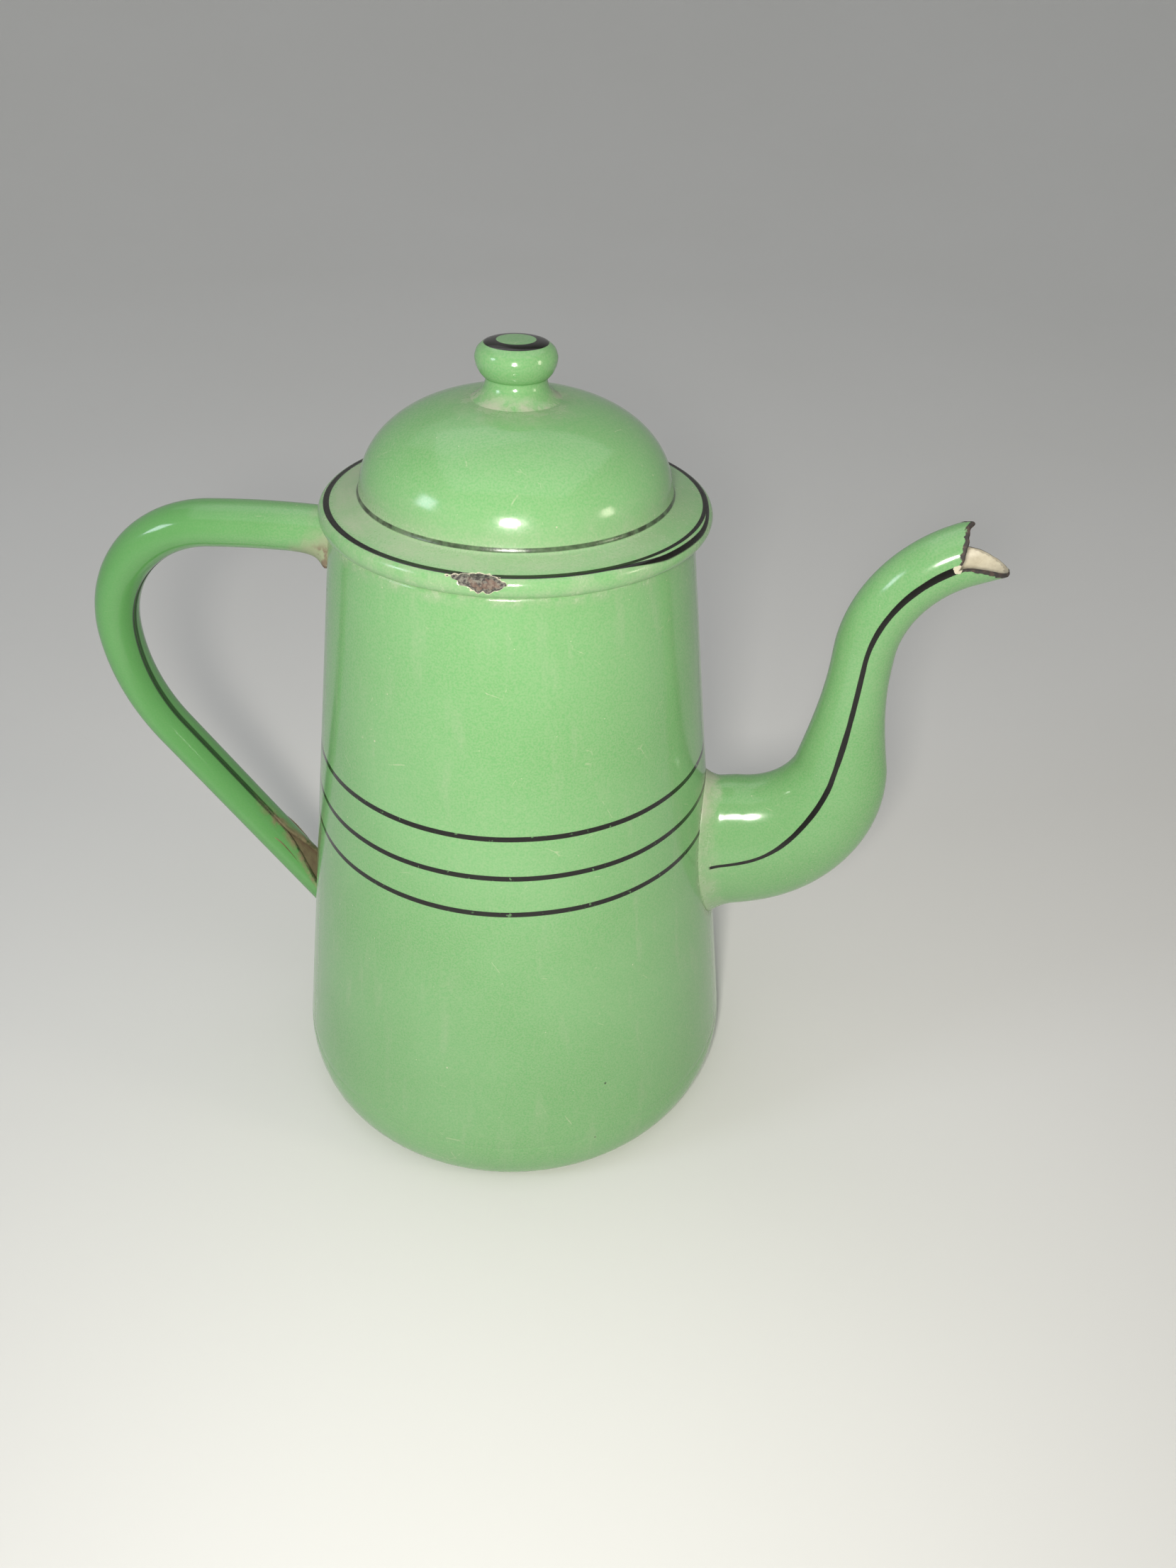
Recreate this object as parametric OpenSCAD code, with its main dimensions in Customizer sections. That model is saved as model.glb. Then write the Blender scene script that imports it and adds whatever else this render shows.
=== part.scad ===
// Enamelled coffee percolator: tapered pot with a goose-neck spout and a strap handle,
// a domed lid, and a lift-out pump and basket.  Millimetres, +Z up, spout along +X.
// The origin is the centre of the flat base.

/* [Pot] */
// Radius of the flat part of the base
base_r = 62.6; // [58:0.1:66]
// How far the bottom corner swells beyond the flat base
corner_out = 7.1; // [5:0.1:9]
// Height of the widest point above the table
corner_h = 14; // [10:0.5:18]
// Loss of radius for each millimetre of height on the tapered wall
taper = 0.1277; // [0.11:0.001:0.14]
// Height where the wall turns in under the lid
shoulder_z = 186.8; // [184:0.1:188]
// Outside radius of the mouth's neck
neck_r = 45.6; // [45:0.1:46]
// Height of the mouth's edge
mouth_z = 193.5; // [192:0.1:193.6]
// Thickness of the enamelled sheet
sheet = 1.2; // [0.8:0.1:1.5]
// Diameter of each strainer hole behind the spout
strainer_hole = 3.6; // [2:0.1:4]

/* [Spout] */
// Height of the spout's middle inside the wall
spout_z = 87; // [84:0.1:92]
// Half height of the oval root
root_half_h = 22.2; // [18:0.1:23]
// Half width of the oval root
root_half_w = 14.8; // [12:0.1:17]
// Half height of the neck near the mouth
neck_half_h = 8.3; // [7:0.1:9]
// Half width of the neck near the mouth
neck_half_w = 8; // [7:0.1:9]
// Length along the middle line to the notch at the side of the beak
notch_s = 130.5; // [126:0.5:134]
// Length of the upper jaw beyond the notch
upper_jaw = 6.2; // [3:0.1:9]
// Length of the lower lip beyond the notch
lower_lip = 12.8; // [8:0.1:15]

/* [Handle] */
// Height of the handle's middle line where it leaves the wall
handle_z = 180.2; // [176:0.1:181]
// Half width of the rolled strip, across the hand
grip_half_w = 8; // [6:0.1:9]
// Half thickness of the rolled strip
grip_half_t = 6.2; // [5:0.1:6.4]
// Angle from the back of the grip to the edge of its slot
slot_angle = 172; // [150:1:175]

/* [Lid] */
// Outside radius of the dome's foot
dome_r = 40.3; // [37:0.1:41]
// Rise of the dome above its foot
dome_rise = 23.2; // [16:0.1:24]
// Height of the dome's foot
dome_foot_z = 197; // [196.6:0.1:198]
// Outside radius of the rolled edge
lid_r = 51; // [50.9:0.1:52]
// How far the loose lid lies off centre, towards the spout
lid_shift = 1.1; // [0:0.1:1.1]
// Depth of the locating collar below the flange
collar_depth = 9; // [5:0.5:9]
// Largest radius of the knob
knob_r = 10.2; // [8:0.1:12]
// Height of the knob above the neck
knob_h = 9.3; // [8:0.1:11]

/* [Pump and basket] */
// Outside radius of the pump tube
tube_r = 4; // [3.8:0.1:4.2]
// Height of the top of the pump tube
tube_top = 199; // [195:1:208]
// Radius of the pump's foot
foot_r = 31; // [25:0.5:34]
// Outside radius of the basket
basket_r = 38; // [32:0.5:38]
// Height of the basket's floor
basket_z = 131; // [125:1:134]
// Height of the basket, floor to rim
basket_h = 41; // [36:1:41]
// Diameter of the holes in the basket and the spreader
perforation = 2; // [1.4:0.1:2.4]

/* [Hidden] */
$fn = 96;
enamel = "#8cc487";
aluminium = "#b9babb";

// Where the bottom corner's curve takes the slope of the wall
seam_angle = 180 - atan(corner_out / (taper * corner_h));
seam_r = base_r + corner_out * sin(seam_angle);
seam_z = corner_h - corner_h * cos(seam_angle);
function wall_r(z) = seam_r - taper * (z - seam_z);
shoulder_in = wall_r(shoulder_z) - neck_r;

// Sheet-metal outlines: a line of points on the outside, thickened to its left
function unit(v) = v / norm(v);
function bend(path, i) = unit(path[min(i + 1, len(path) - 1)] - path[max(i - 1, 0)]);
function left_of(v) = [-v[1], v[0]];
function inner_line(path, t) =
    [for (i = [len(path) - 1:-1:0]) let (p = path[i] + t * left_of(bend(path, i)))
        [max(0, p[0]), p[1]]];
module turned_sheet(path, t) {
    rotate_extrude() polygon(concat(path, inner_line(path, t)));
}
function oval_arc(centre, rx, ry, from, to, count) =
    [for (i = [0:count]) let (a = from + (to - from) * i / count)
        centre + [rx * cos(a), ry * sin(a)]];

// A line in the XZ plane made of runs [length, turn], each an arc or straight
function chord(length, turn) =
    abs(turn) < 0.001 ? length : length * sin(turn / 2) / (turn / 2 * PI / 180);
function run_end(p, length, turn) =
    let (c = chord(length, turn), h = p[2] + turn / 2)
        [p[0] + c * cos(h), p[1] + c * sin(h), p[2] + turn];
function at(s, p, runs, i = 0) =
    s <= runs[i][0] || i == len(runs) - 1
        ? run_end(p, s, runs[i][1] * s / runs[i][0])
        : at(s - runs[i][0], run_end(p, runs[i][0], runs[i][1]), runs, i + 1);
function smooth(s, from, to) =
    let (t = min(1, max(0, (s - from) / (to - from)))) t * t * (3 - 2 * t);
function mix(a, b, t) = a + (b - a) * t;
function total(runs, i = 0) = i == len(runs) ? 0 : runs[i][0] + total(runs, i + 1);

// Slides a point along a heading in the XZ plane until it meets the tapered wall
wall_gap = 0.08;
function to_wall(p, heading, side) =
    let (dx = cos(heading), dz = sin(heading), r = wall_r(p[2]) + wall_gap,
         a = dx * dx - taper * taper * dz * dz,
         b = p[0] * dx + r * taper * dz,
         c = p[0] * p[0] + p[1] * p[1] - r * r,
         t = (-b + side * sqrt(b * b - a * c)) / a)
        p + t * [dx, 0, dz];

// Closed shell from two grids of points: rings along the line, points across the strip
function grid_faces(rings, across, first, flip) =
    [for (i = [0:rings - 2]) for (j = [0:across - 2])
        let (a = first + i * across + j, b = a + 1, c = a + across, d = c + 1)
        for (f = flip ? [[a, b, d], [a, d, c]] : [[a, d, b], [a, c, d]]) f];
module shell(outer, inner) {
    rings = len(outer);
    across = len(outer[0]);
    second = rings * across;
    last = (rings - 1) * across;
    edge_faces = concat(
        [for (j = [0:across - 2]) for (f = [
            [j, j + 1, second + j + 1], [j, second + j + 1, second + j],
            [last + j, second + last + j + 1, last + j + 1],
            [last + j, second + last + j, second + last + j + 1]]) f],
        [for (i = [0:rings - 2]) let (a = i * across, b = a + across, e = across - 1)
            for (f = [
                [a, second + b, b], [a, second + a, second + b],
                [a + e, b + e, second + b + e], [a + e, second + b + e, second + a + e]]) f]);
    polyhedron(
        points = concat([for (ring = outer) for (p = ring) p],
                        [for (ring = inner) for (p = ring) p]),
        faces = concat(grid_faces(rings, across, 0, false),
                       grid_faces(rings, across, second, true), edge_faces),
        convexity = 8);
}

// Spout: an oval tube that leaves the wall, climbs and leans over to a beak
spout_start = [55, spout_z, 6];
spout_runs = [[17.5, 9], [41.5, 75], [36.5, -2], [39.2, -66], [20, 0]];
root_fillet = 3;
fillet_reach = 7;
taper_from = 10;
taper_to = 92;
beak_from = 114;
spout_rings = 24;
beak_rings = 5;
spout_across = 10;
function jaw_end(a) =
    notch_s + (a > 0 ? upper_jaw * pow(sin(a), 0.8) : lower_lip * pow(-sin(a), 0.6));
function spout_s(i, a) =
    i <= spout_rings - beak_rings
        ? beak_from * i / (spout_rings - beak_rings)
        : mix(beak_from, jaw_end(a), (i - spout_rings + beak_rings) / beak_rings);
function spout_point(s, a, inset) =
    let (p = at(s, spout_start, spout_runs),
         t = smooth(s, taper_from, taper_to),
         flare = inset > 0 ? 0 : root_fillet * pow(max(0, 1 - s / fillet_reach), 2),
         v = (mix(root_half_h, neck_half_h, t) + flare - inset) * sin(a),
         w = (mix(root_half_w, neck_half_w, t) + flare - inset) * cos(a))
        [p[0] - v * sin(p[2]), w, p[1] + v * cos(p[2])];
function spout_grid(inset) =
    [for (i = [0:spout_rings]) [for (j = [0:spout_across])
        let (a = -90 + 180 * j / spout_across)
        i == 0 ? to_wall(spout_point(0, a, inset) + [8, 0, 0], spout_start[2], 1)
               : spout_point(max(spout_s(i, a), wall_clear + i), a, inset)]];
// The second ring has to start outside the wall, where the first ring lies
wall_clear = 8;

// Handle: a flat strip rolled into an almost closed tube, open at both roots
handle_start = [-44, handle_z, 176];
handle_runs = [[40, 8], [52.8, 86], [35.8, 36], [78, 0]];
handle_length = total(handle_runs);
handle_rings = 26;
handle_across = 14;
tab_reach = 15;
tab_drop = 8;
open_reach = 34;
root_slot_angle = 104;
function handle_point(s, q, inset) =
    let (p = at(s, handle_start, handle_runs),
         low = smooth(s, handle_length - open_reach, handle_length - 4),
         slim = smooth(s, 55, 130),
         tab = 1 - smooth(s, 6, tab_reach),
         g = mix(slot_angle, root_slot_angle, low) * q,
         bw = mix(grip_half_w, grip_half_w - 0.8, slim) - inset,
         bt = mix(grip_half_t, grip_half_t - 1.4, slim) - inset,
         curl = abs(g) < 90 ? 0 : (abs(g) - 90) / (slot_angle - 90),
         round_v = -bt * cos(g),
         round_w = bw * sin(g),
         v = mix(round_v, curl > 0 ? tab_drop * curl : round_v, tab),
         w = mix(round_w, curl > 0 ? bw * sign(q) : round_w, tab))
        [p[0] - v * sin(p[2]), w, p[1] + v * cos(p[2])];
function handle_grid(inset) =
    [for (i = [0:handle_rings]) [for (j = [0:handle_across])
        let (q = -1 + 2 * j / handle_across, s = mix(8, handle_length - 8, i / handle_rings))
        i == 0 ? to_wall(handle_point(s, q, inset), 180, 1)
        : i == handle_rings ? to_wall(handle_point(s, q, inset), 306, -1)
        : handle_point(s, q, inset)]];

// Lid outline, from the middle of the dome out to the rolled edge
dome_power = 2.5;
dome_root = 0.51;
function dome_z(r) = dome_foot_z + dome_rise * pow(1 - pow(r / dome_r, dome_power), dome_root);
dome_steps = [0, 0.15, 0.3, 0.45, 0.58, 0.7, 0.8, 0.88, 0.94, 0.975, 0.995];
flange_z = 194.5;
curl_w = 2;
curl_h = 2.6;
curl_centre = [lid_r - curl_w, flange_z - curl_h];
lid_outline = concat(
    [for (f = dome_steps) [dome_r * f, dome_z(dome_r * f)]],
    [[dome_r + 0.5, dome_foot_z - 0.5], [dome_r + 2, dome_foot_z - 1.1],
     [dome_r + 5, dome_foot_z - 1.9]],
    oval_arc(curl_centre, curl_w, curl_h, 84, -150, 13));

// Knob outline, from the middle of its top round the bulge to the neck
knob_z = dome_foot_z + dome_rise + 4;
knob_neck_r = 7.6;
knob_outline = [for (p = [
        [0, 1], [0.48, 0.99], [0.66, 0.965], [0.79, 0.915], [0.93, 0.79], [0.99, 0.64],
        [1, 0.54], [0.97, 0.38], [0.9, 0.22], [0.82, 0.09]])
    [knob_r * p[0], knob_z + knob_h * p[1]]];

// Pump and basket
tube_bore_r = 3.3;
thin = 0.8;
slip = 0.4;
foot_z = 1.6;
foot_rise = 12;
sleeve_r = tube_r + slip;

module hole_ring(radius, count, z, depth) {
    for (i = [0:count - 1]) rotate(i * 360 / count)
        translate([radius, 0, z]) cylinder(d = perforation, h = depth, $fn = 16);
}

// Tapered wall with its turned-in shoulder, neck and strainer holes
module body_wall() {
    strainer_pitch = 7;
    seam_gap = 0.12;
    color(enamel) difference() {
        turned_sheet(concat(
            [[wall_r(seam_z + seam_gap), seam_z + seam_gap],
             [wall_r(shoulder_z), shoulder_z]],
            oval_arc([neck_r, shoulder_z + 0.4], shoulder_in, 1.8, 12, 78, 4),
            [[neck_r, shoulder_z + 2.8], [neck_r, mouth_z]]), sheet);
        for (row = [-2:2]) for (column = [-1.5:1.5])
            let (y = (column + (row % 2 == 0 ? 0.5 : 0)) * strainer_pitch,
                 z = row * strainer_pitch * 0.87)
            if (pow(y / (root_half_w - 4), 2) + pow(z / (root_half_h - 4), 2) < 1)
                translate([wall_r(spout_z) - 12, y, spout_z + 1.5 + z])
                    rotate([0, 90, 0]) cylinder(d = strainer_hole, h = 20, $fn = 24);
    }
}

// Flat pressed bottom whose swollen corner rises to the wall's seam
module base_pan() {
    color(enamel) turned_sheet(concat(
        [[0, 0]],
        oval_arc([base_r, corner_h], corner_out, corner_h, -90, seam_angle - 90, 12)), sheet);
}

// Spout halves, welded along the plane of the spout
module spout_left_half() {
    color(enamel) shell(spout_grid(0), spout_grid(sheet));
}

module spout_right_half() {
    color(enamel) mirror([0, 1, 0]) shell(spout_grid(0), spout_grid(sheet));
}

// Rolled strip with pointed corners at its upper root
module handle_strip() {
    color(enamel) shell(handle_grid(0), handle_grid(sheet));
}

// Dome, flange and rolled edge pressed from one sheet
module lid_cover() {
    color(enamel) translate([lid_shift, 0, 0]) rotate_extrude()
        polygon(concat(lid_outline, inner_line(lid_outline, -sheet)));
}

// Ring welded under the flange, which drops inside the mouth
module lid_collar() {
    collar_r = neck_r - sheet - lid_shift - 0.3;
    collar_top = dome_foot_z - 1.5 - sheet;
    color(enamel) translate([lid_shift, 0, collar_top - collar_depth])
        difference() {
            cylinder(r = collar_r, h = collar_depth);
            translate([0, 0, -1]) cylinder(r = collar_r - 1, h = collar_depth + 2);
        }
}

// Flared skirt that carries the knob
module knob_neck() {
    skirt_r = 13;
    foot = dome_z(0) + 0.02;
    color(enamel) translate([lid_shift, 0, 0]) rotate_extrude() polygon(concat(
        [[skirt_r, foot], [skirt_r, foot + 0.3]],
        oval_arc([skirt_r, knob_z - 0.2], -(skirt_r - knob_neck_r),
                 -(knob_z - 0.2 - foot - 0.3), 72, 0, 6),
        [[knob_neck_r, knob_z + knob_h * 0.09], [knob_neck_r - 1, knob_z + knob_h * 0.09],
         [knob_neck_r - 1, foot]]));
}

// Hollow pressed knob
module knob_cap() {
    color(enamel) translate([lid_shift, 0, 0]) rotate_extrude()
        polygon(concat(knob_outline, inner_line(knob_outline, -1)));
}

// Tube that lifts the boiling water
module pump_tube() {
    tube_foot = foot_z + foot_rise - 6;
    color(aluminium) translate([0, 0, tube_foot]) difference() {
        cylinder(r = tube_r, h = tube_top - tube_foot);
        translate([0, 0, -1]) cylinder(r = tube_bore_r, h = tube_top);
    }
}

// Bell-shaped foot with four inlets cut in its rim
module pump_foot() {
    inlet = 6;
    color(aluminium) difference() {
        turned_sheet(concat(
            [[foot_r, foot_z]],
            oval_arc([0, foot_z + 2], foot_r, foot_rise - 2, 0, 76, 9),
            [[tube_r + thin, foot_z + foot_rise - 1.2],
             [tube_r + thin, foot_z + foot_rise + 6]]), thin);
        for (i = [0:3]) rotate(45 + 90 * i) translate([foot_r - 6, -inlet / 2, foot_z - 1])
            cube([12, inlet, 4]);
    }
}

// Collar pressed on the tube, where the basket rests
module basket_stop() {
    color(aluminium) translate([0, 0, basket_z - 3.1]) difference() {
        cylinder(r = tube_r + 3, h = 2.8);
        translate([0, 0, -1]) cylinder(r = tube_r, h = 5);
    }
}

// Perforated coffee basket with a rolled rim
module basket() {
    corner = 5;
    rim = 1.3;
    color(aluminium) difference() {
        union() {
            turned_sheet(concat(
                [[sleeve_r + thin, basket_z]],
                oval_arc([basket_r - corner, basket_z + corner], corner, corner, -90, 0, 6),
                [[basket_r, basket_z + basket_h - rim]]), thin);
            translate([0, 0, basket_z + basket_h - rim]) rotate_extrude()
                translate([basket_r, 0]) circle(r = rim, $fn = 24);
        }
        for (k = [1:3]) hole_ring(4 + 8 * k, 8 * k, basket_z - 1, thin + 2);
    }
}

// Sleeve in the middle of the basket, which slides over the pump tube
module basket_sleeve() {
    color(aluminium) translate([0, 0, basket_z]) difference() {
        cylinder(r = sleeve_r + thin, h = basket_h - 5);
        translate([0, 0, -1]) cylinder(r = sleeve_r, h = basket_h);
    }
}

// Perforated lid of the basket, which spreads the water over the coffee
module spreader() {
    rim_z = basket_z + basket_h + 0.4;
    color(aluminium) difference() {
        turned_sheet([
            [sleeve_r, rim_z + 6], [sleeve_r + 1.4, rim_z + 6], [sleeve_r + 2, rim_z + 3],
            [14, rim_z + 1.4], [basket_r - 6, rim_z + 1.4], [basket_r - 3, rim_z + 2.4],
            [basket_r + 0.6, rim_z + 2.4], [basket_r + 1.4, rim_z + 1.8],
            [basket_r + 1.4, rim_z]], -thin);
        for (k = [1:2]) hole_ring(6 + 10 * k, 12 * k, rim_z - 1, 6);
    }
}

body_wall();
base_pan();
spout_left_half();
spout_right_half();
handle_strip();
lid_cover();
lid_collar();
knob_neck();
knob_cap();
pump_tube();
pump_foot();
basket_stop();
basket();
basket_sleeve();
spreader();
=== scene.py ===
import math
from functools import partial

import bmesh
import bpy
import numpy as np
from bpy.props import FloatProperty, FloatVectorProperty, IntProperty, PointerProperty
from mathutils import Matrix, Vector, noise


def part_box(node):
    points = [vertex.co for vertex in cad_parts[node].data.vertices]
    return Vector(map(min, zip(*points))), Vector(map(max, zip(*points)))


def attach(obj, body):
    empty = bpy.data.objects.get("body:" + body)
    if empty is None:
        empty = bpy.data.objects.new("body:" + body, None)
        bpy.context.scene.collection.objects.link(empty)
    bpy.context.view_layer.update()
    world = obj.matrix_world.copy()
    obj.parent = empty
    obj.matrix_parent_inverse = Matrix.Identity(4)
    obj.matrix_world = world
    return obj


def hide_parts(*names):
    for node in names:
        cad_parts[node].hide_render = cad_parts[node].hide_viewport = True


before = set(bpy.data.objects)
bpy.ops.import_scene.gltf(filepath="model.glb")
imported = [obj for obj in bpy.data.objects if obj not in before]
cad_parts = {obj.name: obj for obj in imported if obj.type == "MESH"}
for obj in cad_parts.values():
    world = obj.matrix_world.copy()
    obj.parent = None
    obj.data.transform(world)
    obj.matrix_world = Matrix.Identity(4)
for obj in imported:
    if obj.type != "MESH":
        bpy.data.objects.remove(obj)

bl_info = {
    "name": "Enamelled coffee percolator",
    "version": (1, 0, 0),
    "blender": (4, 5, 0),
    "location": "View3D > Sidebar > Percolator",
    "description": "Builds the looks of an enamelled coffee percolator around its packed frame",
    "category": "Add Mesh",
}

# Shapes are worked out in millimetres and turned to metres when a mesh is made
MM = 0.001


def linear(code):
    """Linear colour of an sRGB hex value."""
    parts = [int(code[i:i + 2], 16) / 255 for i in (1, 3, 5)]
    return [p / 12.92 if p <= 0.04045 else ((p + 0.055) / 1.055) ** 2.4 for p in parts]


def corners(node):
    """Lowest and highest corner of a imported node, in millimetres."""
    return [[v / MM for v in corner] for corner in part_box(node)]


def half_width(box):
    return (box[1][0] - box[0][0]) / 2


WALL, BASE = corners("body_wall"), corners("base_pan")
LID, KNOB, NECK = corners("lid_cover"), corners("knob_cap"), corners("knob_neck")
TUBE, FOOT, STOP = corners("pump_tube"), corners("pump_foot"), corners("basket_stop")
BASKET, SPREADER = corners("basket"), corners("spreader")
COLLAR, SLEEVE = corners("lid_collar"), corners("basket_sleeve")
SEAM_R, SEAM_Z, MOUTH_Z = WALL[1][0], WALL[0][2], WALL[1][2]
LID_SHIFT = (LID[0][0] + LID[1][0]) / 2
# Heights of the middles of the three painted bands
BANDS = (124.4, 112.5, 101.4)
# The spout climbs as it leaves the wall, so its root and its strainer are centred a
# little above its middle line
ROOT_RISE = 1.5
# Middle of a blob of filler on the spout, under the notch of its beak
FILLER_AT = (114.2, -8.1, 186.6)
# Steps round the small turned pieces, and round the tubes
ROUND, ROUND_TUBE = 128, 64
# Angle in degrees below which a cut edge is shaded smooth
SMOOTH_BELOW = 35


def length(default_mm, name, description):
    return FloatProperty(
        name=name, description=description, default=default_mm * MM, unit="LENGTH",
        precision=5)


def colour(code, name, description):
    return FloatVectorProperty(
        name=name, description=description, default=linear(code), subtype="COLOR",
        min=0, max=1)


class PercolatorSizes(bpy.types.PropertyGroup):
    """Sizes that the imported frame's boxes don't give."""
    sheet: length(1.2, "Sheet", "Thickness of the enamelled steel")
    base_radius: length(62.6, "Base radius", "Radius of the flat part of the base")
    corner_height: length(14, "Corner height", "Height of the widest point of the base")
    taper: FloatProperty(
        name="Taper", description="Loss of radius for each unit of height on the wall",
        default=0.1277)
    shoulder_height: length(186.8, "Shoulder", "Height where the wall turns in")
    neck_radius: length(45.6, "Neck radius", "Outside radius of the mouth's neck")
    spout_height: length(87, "Spout height", "Height of the spout's middle at the wall")
    root_half_height: length(22.2, "Root half height", "Half height of the spout's root")
    root_half_width: length(14.8, "Root half width", "Half width of the spout's root")
    neck_half_height: length(8.3, "Neck half height", "Half height of the spout's neck")
    neck_half_width: length(8, "Neck half width", "Half width of the spout's neck")
    handle_height: length(180.2, "Handle height", "Height of the handle at the wall")
    grip_half_width: length(8, "Grip half width", "Half width of the rolled strip")
    grip_half_thickness: length(6.2, "Grip half thickness", "Half thickness of the strip")
    dome_radius: length(40.3, "Dome radius", "Outside radius of the dome's foot")
    dome_foot: length(197, "Dome foot", "Height of the dome's foot")
    dome_rise: length(23.2, "Dome rise", "Rise of the dome above its foot")
    line_width: length(1.5, "Line width", "Width of the painted bands on the pot")
    turns: IntProperty(
        name="Turns", description="Steps round each turned piece", default=192, min=48)


class PercolatorColours(bpy.types.PropertyGroup):
    """Colours of the enamel, the paint, the metal and what time has left on them."""
    green: colour("#79af74", "Green enamel", "Enamel on the outside")
    # deep_green is pooled enamel in random patches, and painted shade on the handle and in the
    # knob's groove
    deep_green: colour("#5c9a55", "Thick enamel", "Pooled enamel, and painted shade on the handle and under the knob")
    # shadow_green is painted shade, with some grime, along and inside the handle's slot
    shadow_green: colour("#22381f", "Shade green", "Painted shade with some grime, along and in the handle's slot")
    cream: colour("#d3ccb4", "Cream enamel", "Enamel on the inside")
    paint: colour("#12110d", "Painted line", "Hand-painted bands and rings")
    iron: colour("#3a3634", "Bare iron", "Steel where the enamel has chipped")
    rust: colour("#745a4c", "Rust", "Rusted steel in the chips")
    dust: colour("#b5b4a2", "Dust", "Dust settled on ledges")
    dirt: colour("#918265", "Dirt", "Old dirt packed into the handle's slot")
    coffee: colour("#7a5a3a", "Coffee stain", "Stain left by coffee inside")
    aluminium: colour("#c9cacb", "Aluminium", "Bare aluminium of the pump and basket")
    floor: colour("#dcdcda", "Floor", "Pale studio floor")


def sizes():
    """The size properties in millimetres, by name."""
    group = bpy.context.scene.percolator_sizes
    plain = {"taper": group.taper, "turns": group.turns}
    return {key: plain.get(key, getattr(group, key) / MM)
            for key in group.__annotations__}


def rgba(name):
    return (*getattr(bpy.context.scene.percolator_colours, name), 1)


# ---------------- shapes


def arc(centre, across, up, start, end, steps):
    """Points on an ellipse, with angles in degrees."""
    angles = np.radians(np.linspace(start, end, steps + 1))
    return np.column_stack([centre[0] + across * np.cos(angles),
                            centre[1] + up * np.sin(angles)])


def softened(points, passes=3):
    """An open line with its corners cut into curves. Its ends stay."""
    line = np.array(points, float)
    for _ in range(passes):
        near, far = line[:-1], line[1:]
        cut = np.empty((2 * len(near), 2))
        cut[0::2], cut[1::2] = near * 0.75 + far * 0.25, near * 0.25 + far * 0.75
        line = np.vstack([line[:1], cut, line[-1:]])
    return line


def curve_through(points, steps=8):
    """A smooth line through the points."""
    p = np.array(points, float)
    p = np.vstack([2 * p[0] - p[1], p, 2 * p[-1] - p[-2]])
    t = np.linspace(0, 1, steps, endpoint=False)[:, None]
    runs = [0.5 * (2 * b + (c - a) * t + (2 * a - 5 * b + 4 * c - d) * t ** 2
                   + (3 * b - a - 3 * c + d) * t ** 3)
            for a, b, c, d in zip(p, p[1:], p[2:], p[3:])]
    return np.vstack([*runs, p[-2:-1]])


def sheet_section(line, thickness, edge_steps=6):
    """Closed section of sheet metal: the line, a rounded edge, the other face and back.

    The other face lies to the left of the line, or to its right if the thickness is
    negative. Returns the points and how far each is towards the other face, 0 to 1.
    """
    line = np.array(line, float)
    way = np.gradient(line, axis=0)
    way /= np.linalg.norm(way, axis=1)[:, None]
    left = np.column_stack([-way[:, 1], way[:, 0]])
    other = line + left * thickness
    other[:, 0] = np.maximum(other[:, 0], 0)

    def edge(at, forward):
        middle, half = (line[at] + other[at]) / 2, (line[at] - other[at]) / 2
        turn = np.linspace(0, math.pi, edge_steps + 1)[1:-1, None]
        return middle + half * np.cos(turn) + forward * np.linalg.norm(half) * np.sin(turn)

    share = np.linspace(0, 1, edge_steps + 1)[1:-1]
    points, inside = [line, edge(-1, way[-1]), other[::-1]], [
        np.zeros(len(line)), share, np.ones(len(line))]
    if line[0][0] > 0.01:
        points.append(edge(0, -way[0])[::-1])
        inside.append(share[::-1])
    return np.vstack(points), np.concatenate(inside)


def mesh_piece(name, points, faces, marks=()):
    """A smooth mesh object, with one number for each point under each mark's name."""
    mesh = bpy.data.meshes.new(name)
    mesh.from_pydata((np.array(points) * MM).tolist(), [], faces)
    for mark, values in dict(marks).items():
        layer = mesh.attributes.new(mark, "FLOAT", "POINT")
        layer.data.foreach_set("value", np.asarray(values, np.float32))
    work = bmesh.new()
    work.from_mesh(mesh)
    bmesh.ops.recalc_face_normals(work, faces=work.faces)
    work.to_mesh(mesh)
    work.free()
    mesh.shade_smooth()
    made = bpy.data.objects.new(name, mesh)
    bpy.context.scene.collection.objects.link(made)
    return made


def turned(name, section, turns, shift=0, angles=None):
    """Turns a closed section round a vertical axis that stands at x = shift."""
    points, inside = section
    if angles is None:
        angles = np.arange(turns) * 2 * math.pi / turns
    count = len(angles)
    corners_mm, rows, share = [], [], []
    for (radius, height), part in zip(points, inside):
        first = len(corners_mm)
        if radius < 1e-4:
            rows.append([first] * count)
            corners_mm.append((shift, 0, height))
            share.append(part)
        else:
            rows.append(range(first, first + count))
            corners_mm += [(shift + radius * math.cos(a), radius * math.sin(a), height)
                           for a in angles]
            share += [part] * count
    return mesh_piece(name, corners_mm, loop_faces(rows), {"inside": share})


def loop_faces(rows):
    """Faces between neighbouring rows, and from the last row back to the first."""
    faces = []
    for near, far in zip(rows, [*rows[1:], rows[0]]):
        for i in range(len(near)):
            j = (i + 1) % len(near)
            face = list(dict.fromkeys((near[i], near[j], far[j], far[i])))
            if len(face) > 2:
                faces.append(face)
    return faces


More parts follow.
